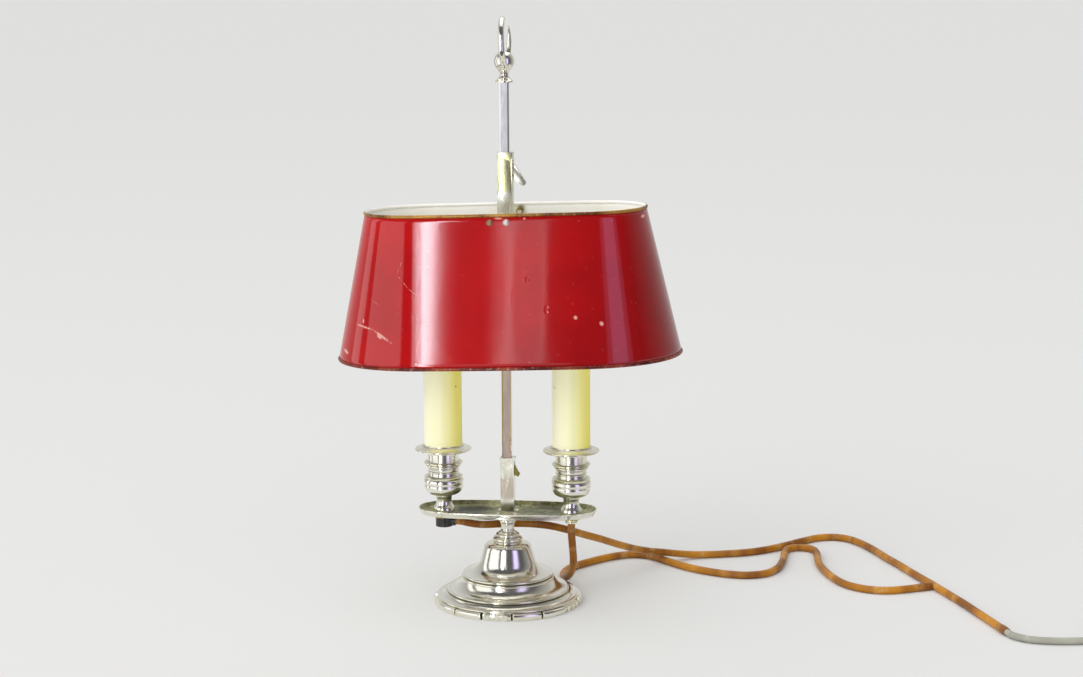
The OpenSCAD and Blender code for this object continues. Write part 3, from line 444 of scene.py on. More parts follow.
# Dark brass for the inner ring of the foot: a painted shade in the slits.
SLIT_SHADE = plain_metal("painted shade in the slits", screen(64, 54, 30), screen(34, 28, 18), 0.6)
STEEL = plain_metal("grey steel", screen(206, 204, 200), screen(150, 148, 146), 0.24)
IRON = plain_metal("raw iron", screen(96, 94, 94), screen(58, 56, 56), 0.55, grain=700, relief=0.3)
FASTENERS = fastener_metal()
ENAMEL = black_moulding("black enamel", screen(34, 33, 34), 0.3)
PHENOLIC = black_moulding("black phenolic", screen(28, 26, 26), 0.2)
OPAL = two_tone("opal glass", (screen(246, 244, 238), screen(238, 236, 226)),
                (30, 2), (0, 1), (900, 2), (0.16, 0.24), 0.01, subsurface_weight=0.3,
                subsurface_scale=0.006, ior=1.5, coat_weight=0.6, coat_roughness=0.05)
WHITE = two_tone("white lining", (screen(254, 253, 248), screen(248, 244, 230)),
                 (20, 4), (0.4, 0.7), (600, 3), (0.45, 0.6), 0.02, ior=1.45)
IVORY = candle_plastic()
RED = red_paint()
GILT = worn_gilt("worn gilt, top edge", screen(112, 66, 34), screen(184, 140, 66),
                 screen(206, 190, 150))
DARK_GILT = worn_gilt("worn gilt, bottom edge", screen(84, 30, 24), screen(150, 70, 50),
                      screen(204, 160, 150))
BROWN_CORD = sheath("brown sheath", screen(196, 130, 18), screen(136, 80, 12),
                    screen(206, 168, 112), 0.5)
PALE_FLEX = sheath("pale flex", screen(186, 186, 172), screen(158, 157, 144),
                   screen(214, 213, 204), 0.4)
FINISH_OF = {
    "silver_plate": SILVER, "tarnished_plate": TARNISH, "worn_plate": SHADE_SLEEVE_PLATE,
    "bare_brass": BRASS, "steel_hardware": STEEL, "cast_weight": IRON, "black_plate": ENAMEL,
    "candle_ivory": IVORY, "holder_black": PHENOLIC, "bulb_glass": OPAL, "shade_red": RED,
    "shade_gilt": GILT, "cord_brown": BROWN_CORD, "flex_pale": PALE_FLEX, "tie_black": PHENOLIC,
}
print(len(bpy.data.materials), "finishes")

# %% [markdown]
# ## From a mesh to a piece
# Each piece below ends in the same way. Edges sharper than a limit stay sharp and the rest shade
# smoothly. The bend at each corner is measured, so that the metals know their ridges and hollows.
# Then the piece takes the body of the node it stands for, and the finish of the slot that the imported
# record gives to that node.

# %% Finish a piece
def store_bends(bm, ridge_radius=0.9):
    """Marks corners on edges that bend outwards or inwards more tightly than the radius, in mm."""
    shortest = 0.2 * MM
    ridge = bm.verts.layers.float.new("ridge")
    hollow = bm.verts.layers.float.new("hollow")
    for vert in bm.verts:
        most, least = 0.0, 0.0
        for edge in vert.link_edges:
            if len(edge.link_faces) == 2:
                start = edge.verts[0].co
                across = sum((start - f.calc_center_median()).length for f in edge.link_faces)
                bend = edge.calc_face_angle_signed(0) * ridge_radius * MM / max(across, shortest)
                most, least = max(most, bend), min(least, bend)
        vert[ridge] = min(1.0, most)
        vert[hollow] = min(1.0, -least)


def shade_smoothly(bm, limit):
    for face in bm.faces:
        face.smooth = True
    for edge in bm.edges:
        edge.smooth = edge.calc_face_angle(0) < math.radians(limit)


def piece(bm, nodes, materials=None, name=None, limit=32, replaces=True):
    """The object made of a bmesh, which stands for the nodes unless it only joins them."""
    nodes = [nodes] if isinstance(nodes, str) else nodes
    shade_smoothly(bm, limit)
    store_bends(bm)
    mesh = bpy.data.meshes.new(name or nodes[0] + "_made")
    bm.to_mesh(mesh)
    bm.free()
    slot = SLOT_OF[nodes[0]]
    for material in materials or [FINISH_OF[slot]]:
        mesh.materials.append(material)
    made = in_scene(mesh)
    if replaces:
        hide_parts(*nodes)
    return made


def ride(made, node):
    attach(made, BODY_OF[node])
    print(f"{made.name}: {len(made.data.polygons)} faces")
    return made


def ridden(bm, node, materials=None, **options):
    """The piece made of a bmesh, which stands for the node and moves with its body."""
    return ride(piece(bm, node, materials, **options), node)


# %% [markdown]
# ## A tube along a path
# Cords, the hook and the wired edges are round rods on a path. One ring is made and extruded from
# point to point; each step turns it just enough to follow the path, which keeps it from twisting.

# %% Paths and tubes
def smooth_path(route, step=4.0):
    """A curve in metres through a route in mm, with a point about every step millimetres."""
    points = [Vector(p) * MM for p in route]
    chords = [b - a for a, b in zip(points, points[1:])]
    heading = [chords[0].normalized()]
    for before, after in zip(chords, chords[1:]):
        evened = before.normalized() * after.length + after.normalized() * before.length
        heading.append(evened.normalized())
    heading.append(chords[-1].normalized())
    path = [points[0]]
    for i, chord in enumerate(chords):
        reach = chord.length / 3
        start, end = points[i:i + 2]
        count = max(2, round(chord.length / (step * MM))) + 1
        path += interpolate_bezier(start, start + heading[i] * reach,
                                   end - heading[i + 1] * reach, end, count)[1:]
    return path


def path_frames(path, closed=False, side=Vector((0, 0.3, 1))):
    """A matrix at each point whose Z follows the path and whose X is carried along without twist."""
    frames = []
    count = len(path)
    for i, point in enumerate(path):
        after = path[(i + 1) % count] if closed else path[min(i + 1, count - 1)]
        before = path[i - 1] if closed else path[max(i - 1, 0)]
        ahead = (after - before).normalized()
        side = (side - ahead * side.dot(ahead)).normalized()
        turned_frame = Matrix((side, ahead.cross(side), ahead)).transposed().to_4x4()
        frames.append(Matrix.Translation(point) @ turned_frame)
    return frames


def extruded(bm, edges):
    """The new points and edges of a line of edges that was extruded where it is."""
    new = bmesh.ops.extrude_edge_only(bm, edges=edges)["geom"]
    verts = [item for item in new if isinstance(item, bmesh.types.BMVert)]
    moved = set(verts)
    return verts, [item for item in new
                   if isinstance(item, bmesh.types.BMEdge) and moved.issuperset(item.verts)]


def tube(path, radii, sides=16, closed=False, **frame_options):
    """A bmesh of a round rod on the path. radii is one radius in metres, or one for each point."""
    radii = radii if isinstance(radii, list) else [radii] * len(path)
    frames = path_frames(path, closed, **frame_options)
    stops = [at @ Matrix.Scale(radius, 4) for at, radius in zip(frames, radii)]
    bm = bmesh.new()
    along = bm.verts.layers.float.new("along")
    bmesh.ops.create_circle(bm, cap_ends=not closed, segments=sides, radius=1, matrix=stops[0])
    first = edges = list(bm.edges)
    gone = 0.0
    for i in range(1, len(stops)):
        gone += (path[i] - path[i - 1]).length
        verts, edges = extruded(bm, edges)
        bmesh.ops.transform(bm, matrix=stops[i] @ stops[i - 1].inverted(), verts=verts)
        for vert in verts:
            vert[along] = gone
    if closed:
        bmesh.ops.bridge_loops(bm, edges=first + edges)
    else:
        bmesh.ops.holes_fill(bm, edges=edges)
    bmesh.ops.recalc_face_normals(bm, faces=bm.faces)
    return bm


# %% [markdown]
# ## The two brown cords
# One cord leaves the cap under the left candle sideways, passes behind the post and sinks to the
# table in one long bow. The other hangs straight down out of a ferrule under the right candle. On the
# table they cross, and the second doubles back on itself before it is spliced to the first. Their
# routes are the points of the imported model.

# %% Brown cords
cord_radius = 2.9 * MM
cord_start_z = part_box("cord_ferrule_right")[0][2] / MM
left_route = [
    (-40.5, 0, 62.8), (-37, 0, 62.8), (-32, 1, 61.5), (-26, 3, 59.9), (-18, 6, 58.8), (-9, 10, 58.4),
    (0, 12, 58.4), (15, 13, 58.4), (32, 13, 57), (46, 20, 52), (57, 34, 45), (68, 49, 38), (77, 64, 31),
    (86, 80, 24), (96, 97, 17), (105, 109, 12.5),
    (114, 118, 9.5), (125, 126, 6.5), (137, 133, 4), (152, 138, 3), (168, 142, 3), (185, 148, 3),
    (202, 159, 3), (218, 174, 3), (233, 190, 3), (246, 201, 3), (258, 204, 3), (269, 200, 3),
    (278, 189, 3), (286, 174, 3), (293, 157, 3), (300, 138, 3), (308, 119, 3), (318, 93, 3),
    (329, 66, 3), (340, 38, 3), (351, 9, 3), (361, -20, 3), (371, -49, 3), (375, -61, 3)]
right_route = [
    (49.5, 0, cord_start_z), (49.5, 0, 57), (50, 4, 43), (50, 12, 30), (47, 26, 17), (42, 42, 8),
    (38, 58, 3.5), (37, 72, 3), (40, 85, 3), (47, 97, 3), (56, 108, 3), (66, 119, 3), (77, 128, 3),
    (89, 133, 3), (101, 131, 3), (113, 121, 3), (126, 107, 3), (139, 95, 3), (153, 86, 3), (169, 79, 3),
    (185, 77, 3), (199, 83, 3), (208, 97, 3), (213, 118, 3), (215, 138, 3), (216, 152, 3),
    (219, 162, 3), (229, 167, 3), (239, 162, 3), (242, 152, 3), (242.5, 138, 3), (243, 120, 3),
    (247, 97, 3), (254, 74, 3), (265, 54, 3), (279, 44, 3), (294, 42, 3), (309, 47, 3), (321, 53, 3),
    (329, 57, 3)]
splice_length, splice_wall = 9 * MM, 0.35 * MM


def splice(node, path):
    """The snug sleeve shrunk over a cord's far end, where it is joined to the next one."""
    gone, start = 0.0, len(path) - 1
    while gone < splice_length:
        gone += (path[start] - path[start - 1]).length
        start -= 1
    ends = path[start:]
    thick = cord_radius + splice_wall
    radii = [cord_radius] + [thick] * (len(ends) - 2) + [cord_radius]
    return ridden(tube(ends, radii, 24), node, name=node + "_splice", replaces=False)


def brown_cord(node, route):
    path = smooth_path(route)
    made = piece(tube(path, cord_radius), node, name=node + "_sheath")
    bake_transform(made)
    splice(node, path)


brown_cord("cord_left", left_route)
brown_cord("cord_right", right_route)

# %% [markdown]
# ## The pale flex, its coil, tie and plug
# At the picture's edge the brown cord is joined to a thinner pale flex. What lies beyond is put away
# in a coil of two layers: the lower winds in at a steady rate and the upper winds out again, with the
# climb in the half turn where it turns back. It ends in a flat two-pin plug.

# %% Pale flex, coil and plug
flex_radius = 2.5 * MM
flex_route = [
    (375, -61, 3), (376, -64, 3), (378, -68, 3), (382, -72.5, 3), (387, -76, 3), (393, -78, 3),
    (400, -79, 3), (413, -79, 3), (428, -77, 3), (442, -76, 3), (456, -76.5, 3), (470, -77, 3)]
coil_centre = Vector((484, -38))
coil_radius, coil_turns, coil_pitch, coil_rise, coil_low = 31, 5.25, 5.6, 5.5, 3.3
steps_per_turn = 48


def coil_point(turns_gone):
    half = coil_turns / 2
    swing = coil_pitch * coil_turns / 4
    radius = coil_radius + swing * (abs(turns_gone - half) / half * 2 - 1)
    turning_back = min(0.5, max(-0.5, (turns_gone - half) * 2))
    climb = 0.5 + 0.5 * math.sin(math.pi * turning_back)
    angle = math.radians(-90 + 360 * turns_gone)
    return (coil_centre.x + radius * math.cos(angle), coil_centre.y + radius * math.sin(angle),
            coil_low + coil_rise * climb)


coil_route = [coil_point(i / steps_per_turn) for i in range(round(coil_turns * steps_per_turn) + 1)]
tail_x, tail_y, tail_z = coil_route[-1]
tail_route = [(tail_x, tail_y + d * 5, tail_z - 0.6 * d) for d in (1.4, 2.8)]
flex_path = smooth_path(flex_route + coil_route[:1], 3)
flex_path += [Vector(p) * MM for p in coil_route[1:]]
flex_path += smooth_path([coil_route[-1]] + tail_route, 3)[1:]


def merged(node):
    """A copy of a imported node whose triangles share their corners."""
    bm = bmesh.new()
    bm.from_mesh(frame["nodes"][node].data)
    bmesh.ops.remove_doubles(bm, verts=bm.verts, dist=0.01 * MM)
    return bm


def round_edges(bm, edges, width, segments=2):
    """Rounds edges by a width in mm. One segment makes a plain chamfer."""
    bmesh.ops.bevel(bm, geom=edges, offset=width * MM, offset_type="OFFSET", segments=segments,
                    profile=0.5, affect="EDGES", clamp_overlap=True, material=-1)


def softened(node, width, axes, segments=2):
    """A merged copy of a node, with the edges that lie in its box's sides along the axes rounded."""
    bm = merged(node)
    bmesh.ops.dissolve_limit(bm, angle_limit=math.radians(1), verts=bm.verts, edges=bm.edges)
    sides = [(axis, corner[axis]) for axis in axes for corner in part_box(node)]
    rim = [edge for edge in bm.edges if edge.calc_face_angle(0) > math.radians(30)
           and any(all(abs(vert.co[axis] - limit) < 0.02 * MM for vert in edge.verts)
                   for axis, limit in sides)]
    round_edges(bm, rim, width, segments)
    return bm


plug = ridden(softened("plug_body", 1.8, [2], 4), "plug_body", name="plug_shell")
tie = ridden(softened("coil_tie", 0.3, [0, 1, 2]), "coil_tie", name="tie_band")
flex = piece(tube(flex_path, flex_radius), ["flex_run", "flex_coil"], name="flex_length")
ride(flex, "flex_run")

# %% [markdown]
# ## Turned and spun pieces
# The bell, post, finial, cups and pans were all made on a lathe. Half of an outline, drawn as radius
# and height, is spun once round the axis. Steps are small, because polished metal shows every facet.

# %% Spin an outline
def arc(centre, radius, start, end, steps=12):
    """Points on an arc, with its angles in degrees."""
    angles = [math.radians(start + (end - start) * i / steps) for i in range(steps + 1)]
    return [(centre[0] + radius * math.cos(a), centre[1] + radius * math.sin(a)) for a in angles]


def spin(bm, outline, centre_x=0.0, steps=128):
    """Adds an outline of (radius, height) points in mm, spun round the vertical at centre_x."""
    profile = bm.verts.layers.float.get("profile") or bm.verts.layers.float.new("profile")
    verts = [bm.verts.new((radius * MM, 0, height * MM)) for radius, height in outline]
    gone = 0.0
    for before, vert in zip(verts, verts[1:]):
        gone += (vert.co - before.co).length / MM
        vert[profile] = gone
    edges = [bm.edges.new(pair) for pair in zip(verts, verts[1:])]
    if outline[0][0] > 0 or outline[-1][0] > 0:
        edges.append(bm.edges.new((verts[-1], verts[0])))
    old = set(bm.verts) - set(verts)
    bmesh.ops.spin(bm, geom=verts + edges, cent=(0, 0, 0), axis=(0, 0, 1), angle=2 * math.pi,
                   steps=steps, use_merge=True)
    new = [vert for vert in bm.verts if vert not in old]
    bmesh.ops.remove_doubles(bm, verts=new, dist=0.001 * MM)
    new = [vert for vert in bm.verts if vert not in old]
    bmesh.ops.recalc_face_normals(bm, faces=list({face for vert in new for face in vert.link_faces}))
    bmesh.ops.translate(bm, vec=(centre_x * MM, 0, 0), verts=new)


def turned(outline, centre_x=0.0, steps=128):
    bm = bmesh.new()
    spin(bm, outline, centre_x, steps)
    return bm


# %% [markdown]
# ## The bell base
# The base steps in over three beads, with a hollow cove under each, and ends in a bell with a flared
# foot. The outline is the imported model's, with finer arcs.

# %% Bell base
foot_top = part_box("foot_ring")[1][2] / MM
bell_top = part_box("base_shell")[1][2] / MM
edge_r, bead2_r, bead1_r, bell_r, spun_wall = 54.8, 47.2, 35.4, 21.3, 1.2
flare_r, shoulder_r, seat_r, tail_hole, lean = 14, 4.2, 10.9, 3.5, 16
lean_cos, lean_sin = math.cos(math.radians(lean)), math.sin(math.radians(lean))
bell_foot = (bead1_r - 1.6, foot_top + 18.4)
flare_c = (bell_r + flare_r * lean_cos, bell_foot[1] + flare_r)
shoulder_z = bell_top - 0.8 - shoulder_r
straight_h = shoulder_z + shoulder_r * lean_sin - (flare_c[1] - flare_r * lean_sin)
shoulder_c = (bell_r - straight_h * lean_sin / lean_cos - shoulder_r * lean_cos, shoulder_z)
cove_c = (bead2_r - 1.4, foot_top + 16.6)


def bell_line(inwards):
    return (arc(flare_c, flare_r + inwards, 262, 180 + lean, 20)
            + arc(shoulder_c, shoulder_r - inwards, lean, 82, 16))


base_outline = (
    [(edge_r - 0.8, foot_top)] + arc((edge_r - 0.9, foot_top + 0.9), 0.9, -80, 100, 10)
    + arc((edge_r - 1.2, foot_top + 7.2), 5.6, 262, 212, 12) + [(bead2_r - 1.1, foot_top + 4.4)]
    + arc((bead2_r - 1, foot_top + 5.6), 1, -60, 110, 10) + arc(cove_c, 10, 262, 190, 18)
    + [(bead1_r + 0.7, foot_top + 15.3), (bead1_r + 0.5, foot_top + 15.8)]
    + [(bead1_r - 1.2, foot_top + 16.1)] + arc((bead1_r - 1, foot_top + 17.4), 1, -60, 100, 10)
    + [bell_foot] + bell_line(0)
    + [(seat_r + 0.2, bell_top - 0.1), (seat_r + 0.1, bell_top - 0.7), (tail_hole, bell_top - 0.7)]
    + [(tail_hole, bell_top - 0.7 - spun_wall), (seat_r - 1, bell_top - 0.7 - spun_wall)]
    + bell_line(spun_wall)[::-1] + [(bell_foot[0] - spun_wall - 0.6, foot_top + 14.6)]
    + arc(cove_c, 10 + spun_wall, 200, 254, 12)
    + [(bead2_r - 4.4, foot_top + 2.6), (edge_r - 4.4, foot_top + 0.6), (edge_r - 4, foot_top)])
ridden(turned(base_outline, steps=160), "base_shell")

# %% [markdown]
# ## The castellated foot ring
# The ring under the base is cut into fifteen blocks by narrow slits: two plain blocks, then one with
# three round dentils. Each block is a short spin of one section, so its ends are already closed, and
# its edges are rounded a little. The blocks stand on a plain inner ring, painted dark brass as the
# shade that falls in the slits.

# %% Foot ring
foot_r, foot_in, dentil_back, dentil_r, slit = 57.4, 50.0, 1.7, 1.6, 1.3
root_r = foot_r - dentil_back - 1.6
block_count, ring_start, dentil_places = 15, 183.5, (-0.3, 0, 0.3)
pitch = 360 / block_count


def foot_block(bm, outline, start_angle, sweep):
    """One closed block, a part turn of a section, with its edges rounded."""
    part = bmesh.new()
    verts = [part.verts.new((radius * MM, 0, height * MM)) for radius, height in outline]
    section = part.faces.new(verts)
    bmesh.ops.rotate(part, verts=verts, cent=(0, 0, 0),
                     matrix=Matrix.Rotation(math.radians(start_angle), 3, "Z"))
    bmesh.ops.spin(part, geom=[section], cent=(0, 0, 0), axis=(0, 0, 1), angle=math.radians(sweep),
                   steps=10)
    bmesh.ops.recalc_face_normals(part, faces=part.faces)
    sharp = [edge for edge in part.edges if edge.calc_face_angle(0) > math.radians(35)]
    round_edges(part, sharp, 0.22)
    part_mesh = bpy.data.meshes.new("block")
    part.to_mesh(part_mesh)
    part.free()
    bm.from_mesh(part_mesh)
    bpy.data.meshes.remove(part_mesh)


def foot_ring():
    bm = turned([(foot_in, 0), (root_r, 0), (root_r, foot_top), (foot_in, foot_top)], steps=120)
    for face in bm.faces:
        # The inner ring takes the dark brass: a painted shade in the slits.
        face.material_index = 1
    half_slit = math.degrees(slit / 2 / foot_r)
    dentil_h, dentil_reach = foot_top - 0.7, (foot_r - dentil_r - 0.2) * MM
    for i in range(block_count):
        outer = foot_r if i % 3 else foot_r - dentil_back
        section = [(root_r - 0.5, 0), (outer - 0.5, 0), (outer, 1), (outer, foot_top - 1.5),
                   (outer - 0.5, foot_top - 0.5), (outer - 1.5, foot_top), (root_r - 0.5, foot_top)]
        foot_block(bm, section, ring_start + i * pitch + half_slit, pitch - 2 * half_slit)
        for place in () if i % 3 else dentil_places:
            angle = math.radians(ring_start + (i + 0.5 + place) * pitch)
            spot = (dentil_reach * math.cos(angle), dentil_reach * math.sin(angle), dentil_h / 2 * MM)
            bmesh.ops.create_cone(bm, cap_ends=True, segments=24, radius1=dentil_r * MM,
                                  radius2=dentil_r * MM, depth=dentil_h * MM,
                                  matrix=Matrix.Translation(spot))
    return bm


ridden(foot_ring(), "foot_ring", [SILVER, SLIT_SHADE])

# %% [markdown]
# ## Post, finial and hook
# The post between bell and tray is one turned piece of beads and coves. On top of the stem sits a
# bud over a small bell skirt, and out of it grows a ring to carry the lamp by. The ring is open: one
# arm is drawn to a point, the other is round.

# %% Post
post_low = bell_top - 0.7
post_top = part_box("post")[1][2] / MM
bead_r, collar_r, post_hole = 11.7, 6.4, 3.3
post_outline = (
    [(post_hole, post_low), (bead_r - 0.8, post_low), (bead_r - 0.8, post_low + 0.8)]
    + arc((bead_r - 1.3, post_low + 3.1), 1.4, -75, 80, 14)
    + [(bead_r - 2.6, post_low + 4.9), (bead_r - 2.9, post_low + 5.5)]
    + arc((collar_r + 1.9, post_low + 6.4), 0.9, -60, 90, 12) + [(collar_r + 0.9, post_low + 7.6)]
    + arc((collar_r + 2, post_low + 11.6), 3.6, 250, 190, 14) + [(collar_r - 1, post_top - 6.2)]
    + arc((collar_r - 1.5, post_top - 3.4), 1.9, -50, 50, 14)
    + [(collar_r - 0.2, post_top - 1.2), (collar_r - 0.2, post_top), (post_hole, post_top)])
ridden(turned(post_outline), "post")

# %% Stem
stem_w, stem_chamfer, tail_r, top_pin_r, top_pin_l = 7.0, 0.95, 3.2, 2.2, 6
stem_low, stem_high = (v[2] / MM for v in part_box("stem"))
stem_top = stem_high - top_pin_l


def stem():
    bm = bmesh.new()
    height = stem_top - post_top
    middle = Matrix.Translation((0, 0, (post_top + height / 2) * MM))
    bmesh.ops.create_cube(
        bm, size=1, matrix=middle @ Matrix.Diagonal((stem_w * MM, stem_w * MM, height * MM, 1)))
    uprights = [edge for edge in bm.edges if edge.calc_length() > height / 2 * MM]
    round_edges(bm, uprights, stem_chamfer, 1)
    for radius, low, high, steps in ((tail_r, stem_low, post_top + 1, 32),
                                     (top_pin_r, stem_top - 1, stem_high, 24)):
        spin(bm, [(0, low), (radius, low), (radius, high), (0, high)], steps=steps)
    return bm


ridden(stem(), "stem", [STEM_PLATE], limit=40)

# %% Finial bud
skirt_r, bud_r, bud_h, neck_r = 7.0, 7.75, 22.6, 2.95
neck_z = stem_top + 6
wide_z = stem_top + bud_h - 7.1
bud_outline = (
    [(0, stem_top), (skirt_r, stem_top), (skirt_r, stem_top + 0.8)]
    + arc((neck_r + 5.2, neck_z + 0.4), 5, 245, 190, 14)
    + [(neck_r, neck_z + 0.6), (neck_r + 0.9, neck_z + 1.6), (bud_r * 0.62, wide_z - 6.4)]
    + arc((0, wide_z), bud_r, -42, 62, 24) + [(0, stem_top + bud_h)])
ridden(turned(bud_outline, steps=64), "finial_bud")

# %% Carrying hook
hook_r, wire_r, hook_spread = 17.4, 2.35, 3.1
hook_z = stem_top + 12 + hook_r
point_angle, gap_angle = 47, 42


def hook():
    """An open ring: it starts as a drawn point, is thickest from half its way on and ends round."""
    steps = 120
    sweep = math.radians(360 - gap_angle)
    first = math.radians(point_angle)
    path, radii = [], []
    for i in range(steps + 1):
        done = i / steps
        angle = first - sweep * done
        path.append(Vector((hook_spread * (0.7 - done), hook_r * math.cos(angle),
                            hook_z + hook_r * math.sin(angle))) * MM)
        taper = 0.84 + 0.16 * min(1, max(0, (done - 0.15) / 0.4))
        drawn = min(1, 0.06 + (done / 0.16) ** 0.7)
        left = (1 - done) * sweep * hook_r / wire_r
        rounded = math.sqrt(max(0.02, 1 - max(0, 1 - left) ** 2))
        radii.append(wire_r * MM * taper * drawn * rounded)
    return tube(path, radii, 28, side=Vector((1, 0, 0)))


ridden(hook(), "finial_hook", limit=60)

# %% [markdown]
# ## Candle cups and drip pans
# A cup is a vase: a trumpet foot, a round bowl with a lip, and a straight neck with bead and ring.
# The pan on it is a thin brim with a rolled rim, which rises to a low collar round the candle. Left
# and right are alike, so a loop makes both.

# %% Cups and pans
candle_x = 49.5
both_sides = (("left", -candle_x), ("right", candle_x))
floor_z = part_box("cup_left")[0][2] / MM
cup_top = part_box("cup_left")[1][2] / MM
pan_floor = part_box("candle_left")[0][2] / MM
cup_r, bowl_r, nipple_r, pan_r, cover_r = 12.0, 15.3, 4.0, 21.8, 14.7


def cup_outline():
    lip_z, ring_z, throat = floor_z + 28.4, floor_z + 38.6, nipple_r + 2
    return (
        [(nipple_r, floor_z), (8.5, floor_z), (8.5, floor_z + 2.6)]
        + arc((throat + 6.6, floor_z + 8.6), 6.6, 222, 172, 16)
        + [(throat + 0.1, floor_z + 11.4), (6.6, floor_z + 12.4), (6.6, floor_z + 13.4)]
        + arc((bowl_r - 6.8, floor_z + 20.6), 6.6, -78, 12, 16)
        + arc((bowl_r - 3.6, floor_z + 24.2), 3.6, -20, 40, 12)
        + [(bowl_r - 0.3, lip_z - 0.5), (bowl_r - 0.7, lip_z), (bowl_r - 2.6, lip_z - 0.9)]
        + [(cup_r - 0.4, lip_z - 0.4), (cup_r - 0.4, lip_z + 2.6)]
        + arc((cup_r - 0.7, lip_z + 3.4), 0.7, -70, 70, 10)
        + [(cup_r - 0.2, lip_z + 5), (cup_r - 0.2, ring_z - 2.6)]
        + arc((cup_r + 0.6, ring_z - 1.9), 0.9, -80, 60, 10)
        + [(bowl_r - 1.2, ring_z - 0.7), (bowl_r - 0.2, ring_z + 0.3), (bowl_r - 0.4, ring_z + 0.9)]
        + [(cup_r + 0.8, ring_z + 0.2), (cup_r, ring_z + 0.8), (cup_r, cup_top), (nipple_r, cup_top)])


def pan_outline():
    brim_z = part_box("drip_pan_left")[1][2] / MM - 1.6
    root_z, collar_r, collar_z = brim_z + 2.2, cover_r + 0.7, brim_z + 3.9
    return (
        [(nipple_r, cup_top), (cup_r + 0.4, cup_top), (cup_r + 0.4, cup_top + 1.2)]
        + [(cup_r + 0.8, brim_z - 1.0), (pan_r - 2.4, brim_z - 0.7)]
        + arc((pan_r - 0.75, brim_z), 0.75, -110, 105, 12)
        + arc((pan_r - 1.2, brim_z + 6.2), 5.5, -95, -124, 8)
        + [(collar_r + 1.2, root_z - 0.1), (collar_r + 0.3, root_z + 0.3), (collar_r, root_z + 0.7)]
        + arc((collar_r - 0.3, collar_z - 0.3), 0.3, 0, 120, 6)
        + [(cover_r + 0.08, collar_z - 0.3), (cover_r + 0.08, pan_floor), (nipple_r, pan_floor)])


for side, x in both_sides:
    ridden(turned(cup_outline(), x, 112), "cup_" + side)
    ridden(turned(pan_outline(), x, 112), "drip_pan_" + side, [CREAM_SILVER])

# %% [markdown]
# ## Candle covers and bulbs
# A cover is a plain tube with one small pin hole in its side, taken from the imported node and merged,
# so that it shades smoothly. The bulb over it is opal glass, blown to a flame and set in a screw cap.

# %% Covers and bulbs
bulb_r, bulb_l, bulb_wide, bulb_curve, cap_r = 17.5, 80.0, 28, 29, 6.9
holder_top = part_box("candle_left")[1][2] / MM - 2


def bulb(x):
    neck = holder_top + 0.6
    glass = arc((bulb_r - bulb_curve, neck + bulb_wide), bulb_curve, -36, 0, 16)
    for angle in (math.radians(a) for a in range(4, 87, 4)):
        glass.append((bulb_r * math.cos(angle) ** 0.8,
                      neck + bulb_wide + (bulb_l - bulb_wide) * math.sin(angle) ** 1.15))
    cap = [(0, holder_top - 22.8), (2.4, holder_top - 22.8), (3.2, holder_top - 22),
           (cap_r, holder_top - 19.6), (cap_r, holder_top + 0.3), (cap_r + 0.8, neck)]
    bm = turned([(0, neck - 0.5)] + glass + [(0, neck + bulb_l)], x, 64)
    count = len(bm.faces)
    spin(bm, cap + [(0, neck)], x, 48)
    bm.faces.ensure_lookup_table()
    for face in bm.faces[count:]:
        face.material_index = 1
    return bm


for side, x in both_sides:
    ridden(merged("candle_" + side), "candle_" + side)
    ridden(bulb(x), "bulb_" + side, [OPAL, BRASS])
    ridden(merged("lampholder_" + side), "lampholder_" + side)

# %% [markdown]
# ## The lobed tray
# The tray is a shallow dish between two round lobes, with a cusp where they meet. Its outline is
# drawn once and drawn in by different amounts at each height, from the underside's edge up over the
# rim and down to the floor. Loops of the same number of points are bridged one after another.

# %% Tray
tray_half, lobe_r, tray_mid, tray_waist, tray_flare, rim_w = 69.4, 19.8, 25.0, 21.6, 3.2, 1.0
lobe_x = tray_half - lobe_r
mid_half = lobe_x - 1.4
mid_r = (mid_half ** 2 + (tray_mid - tray_waist) ** 2) / (2 * (tray_mid - tray_waist))
tray_low, tray_high = (v[2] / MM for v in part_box("tray"))


def tray_outline(inset):
    """One closed line round the tray, drawn in by the inset: lobe, cusp and middle, four times."""
    corner = 2.2
    waist = tray_waist - inset
    quarter = arc((lobe_x, 0), lobe_r - inset, 0, 97 - inset, 28)
    quarter += arc((mid_half - corner, waist - corner), corner, 20, 90, 6)
    widths = [(mid_half - corner - 0.6) * i / 14 for i in range(14, -1, -1)]
    quarter += [(x, tray_mid - inset - mid_r + math.sqrt(mid_r ** 2 - x * x)) for x in widths]
    upper = quarter + [(-x, y) for x, y in quarter[-2::-1]]
    return upper + [(x, -y) for x, y in upper[-2:0:-1]]


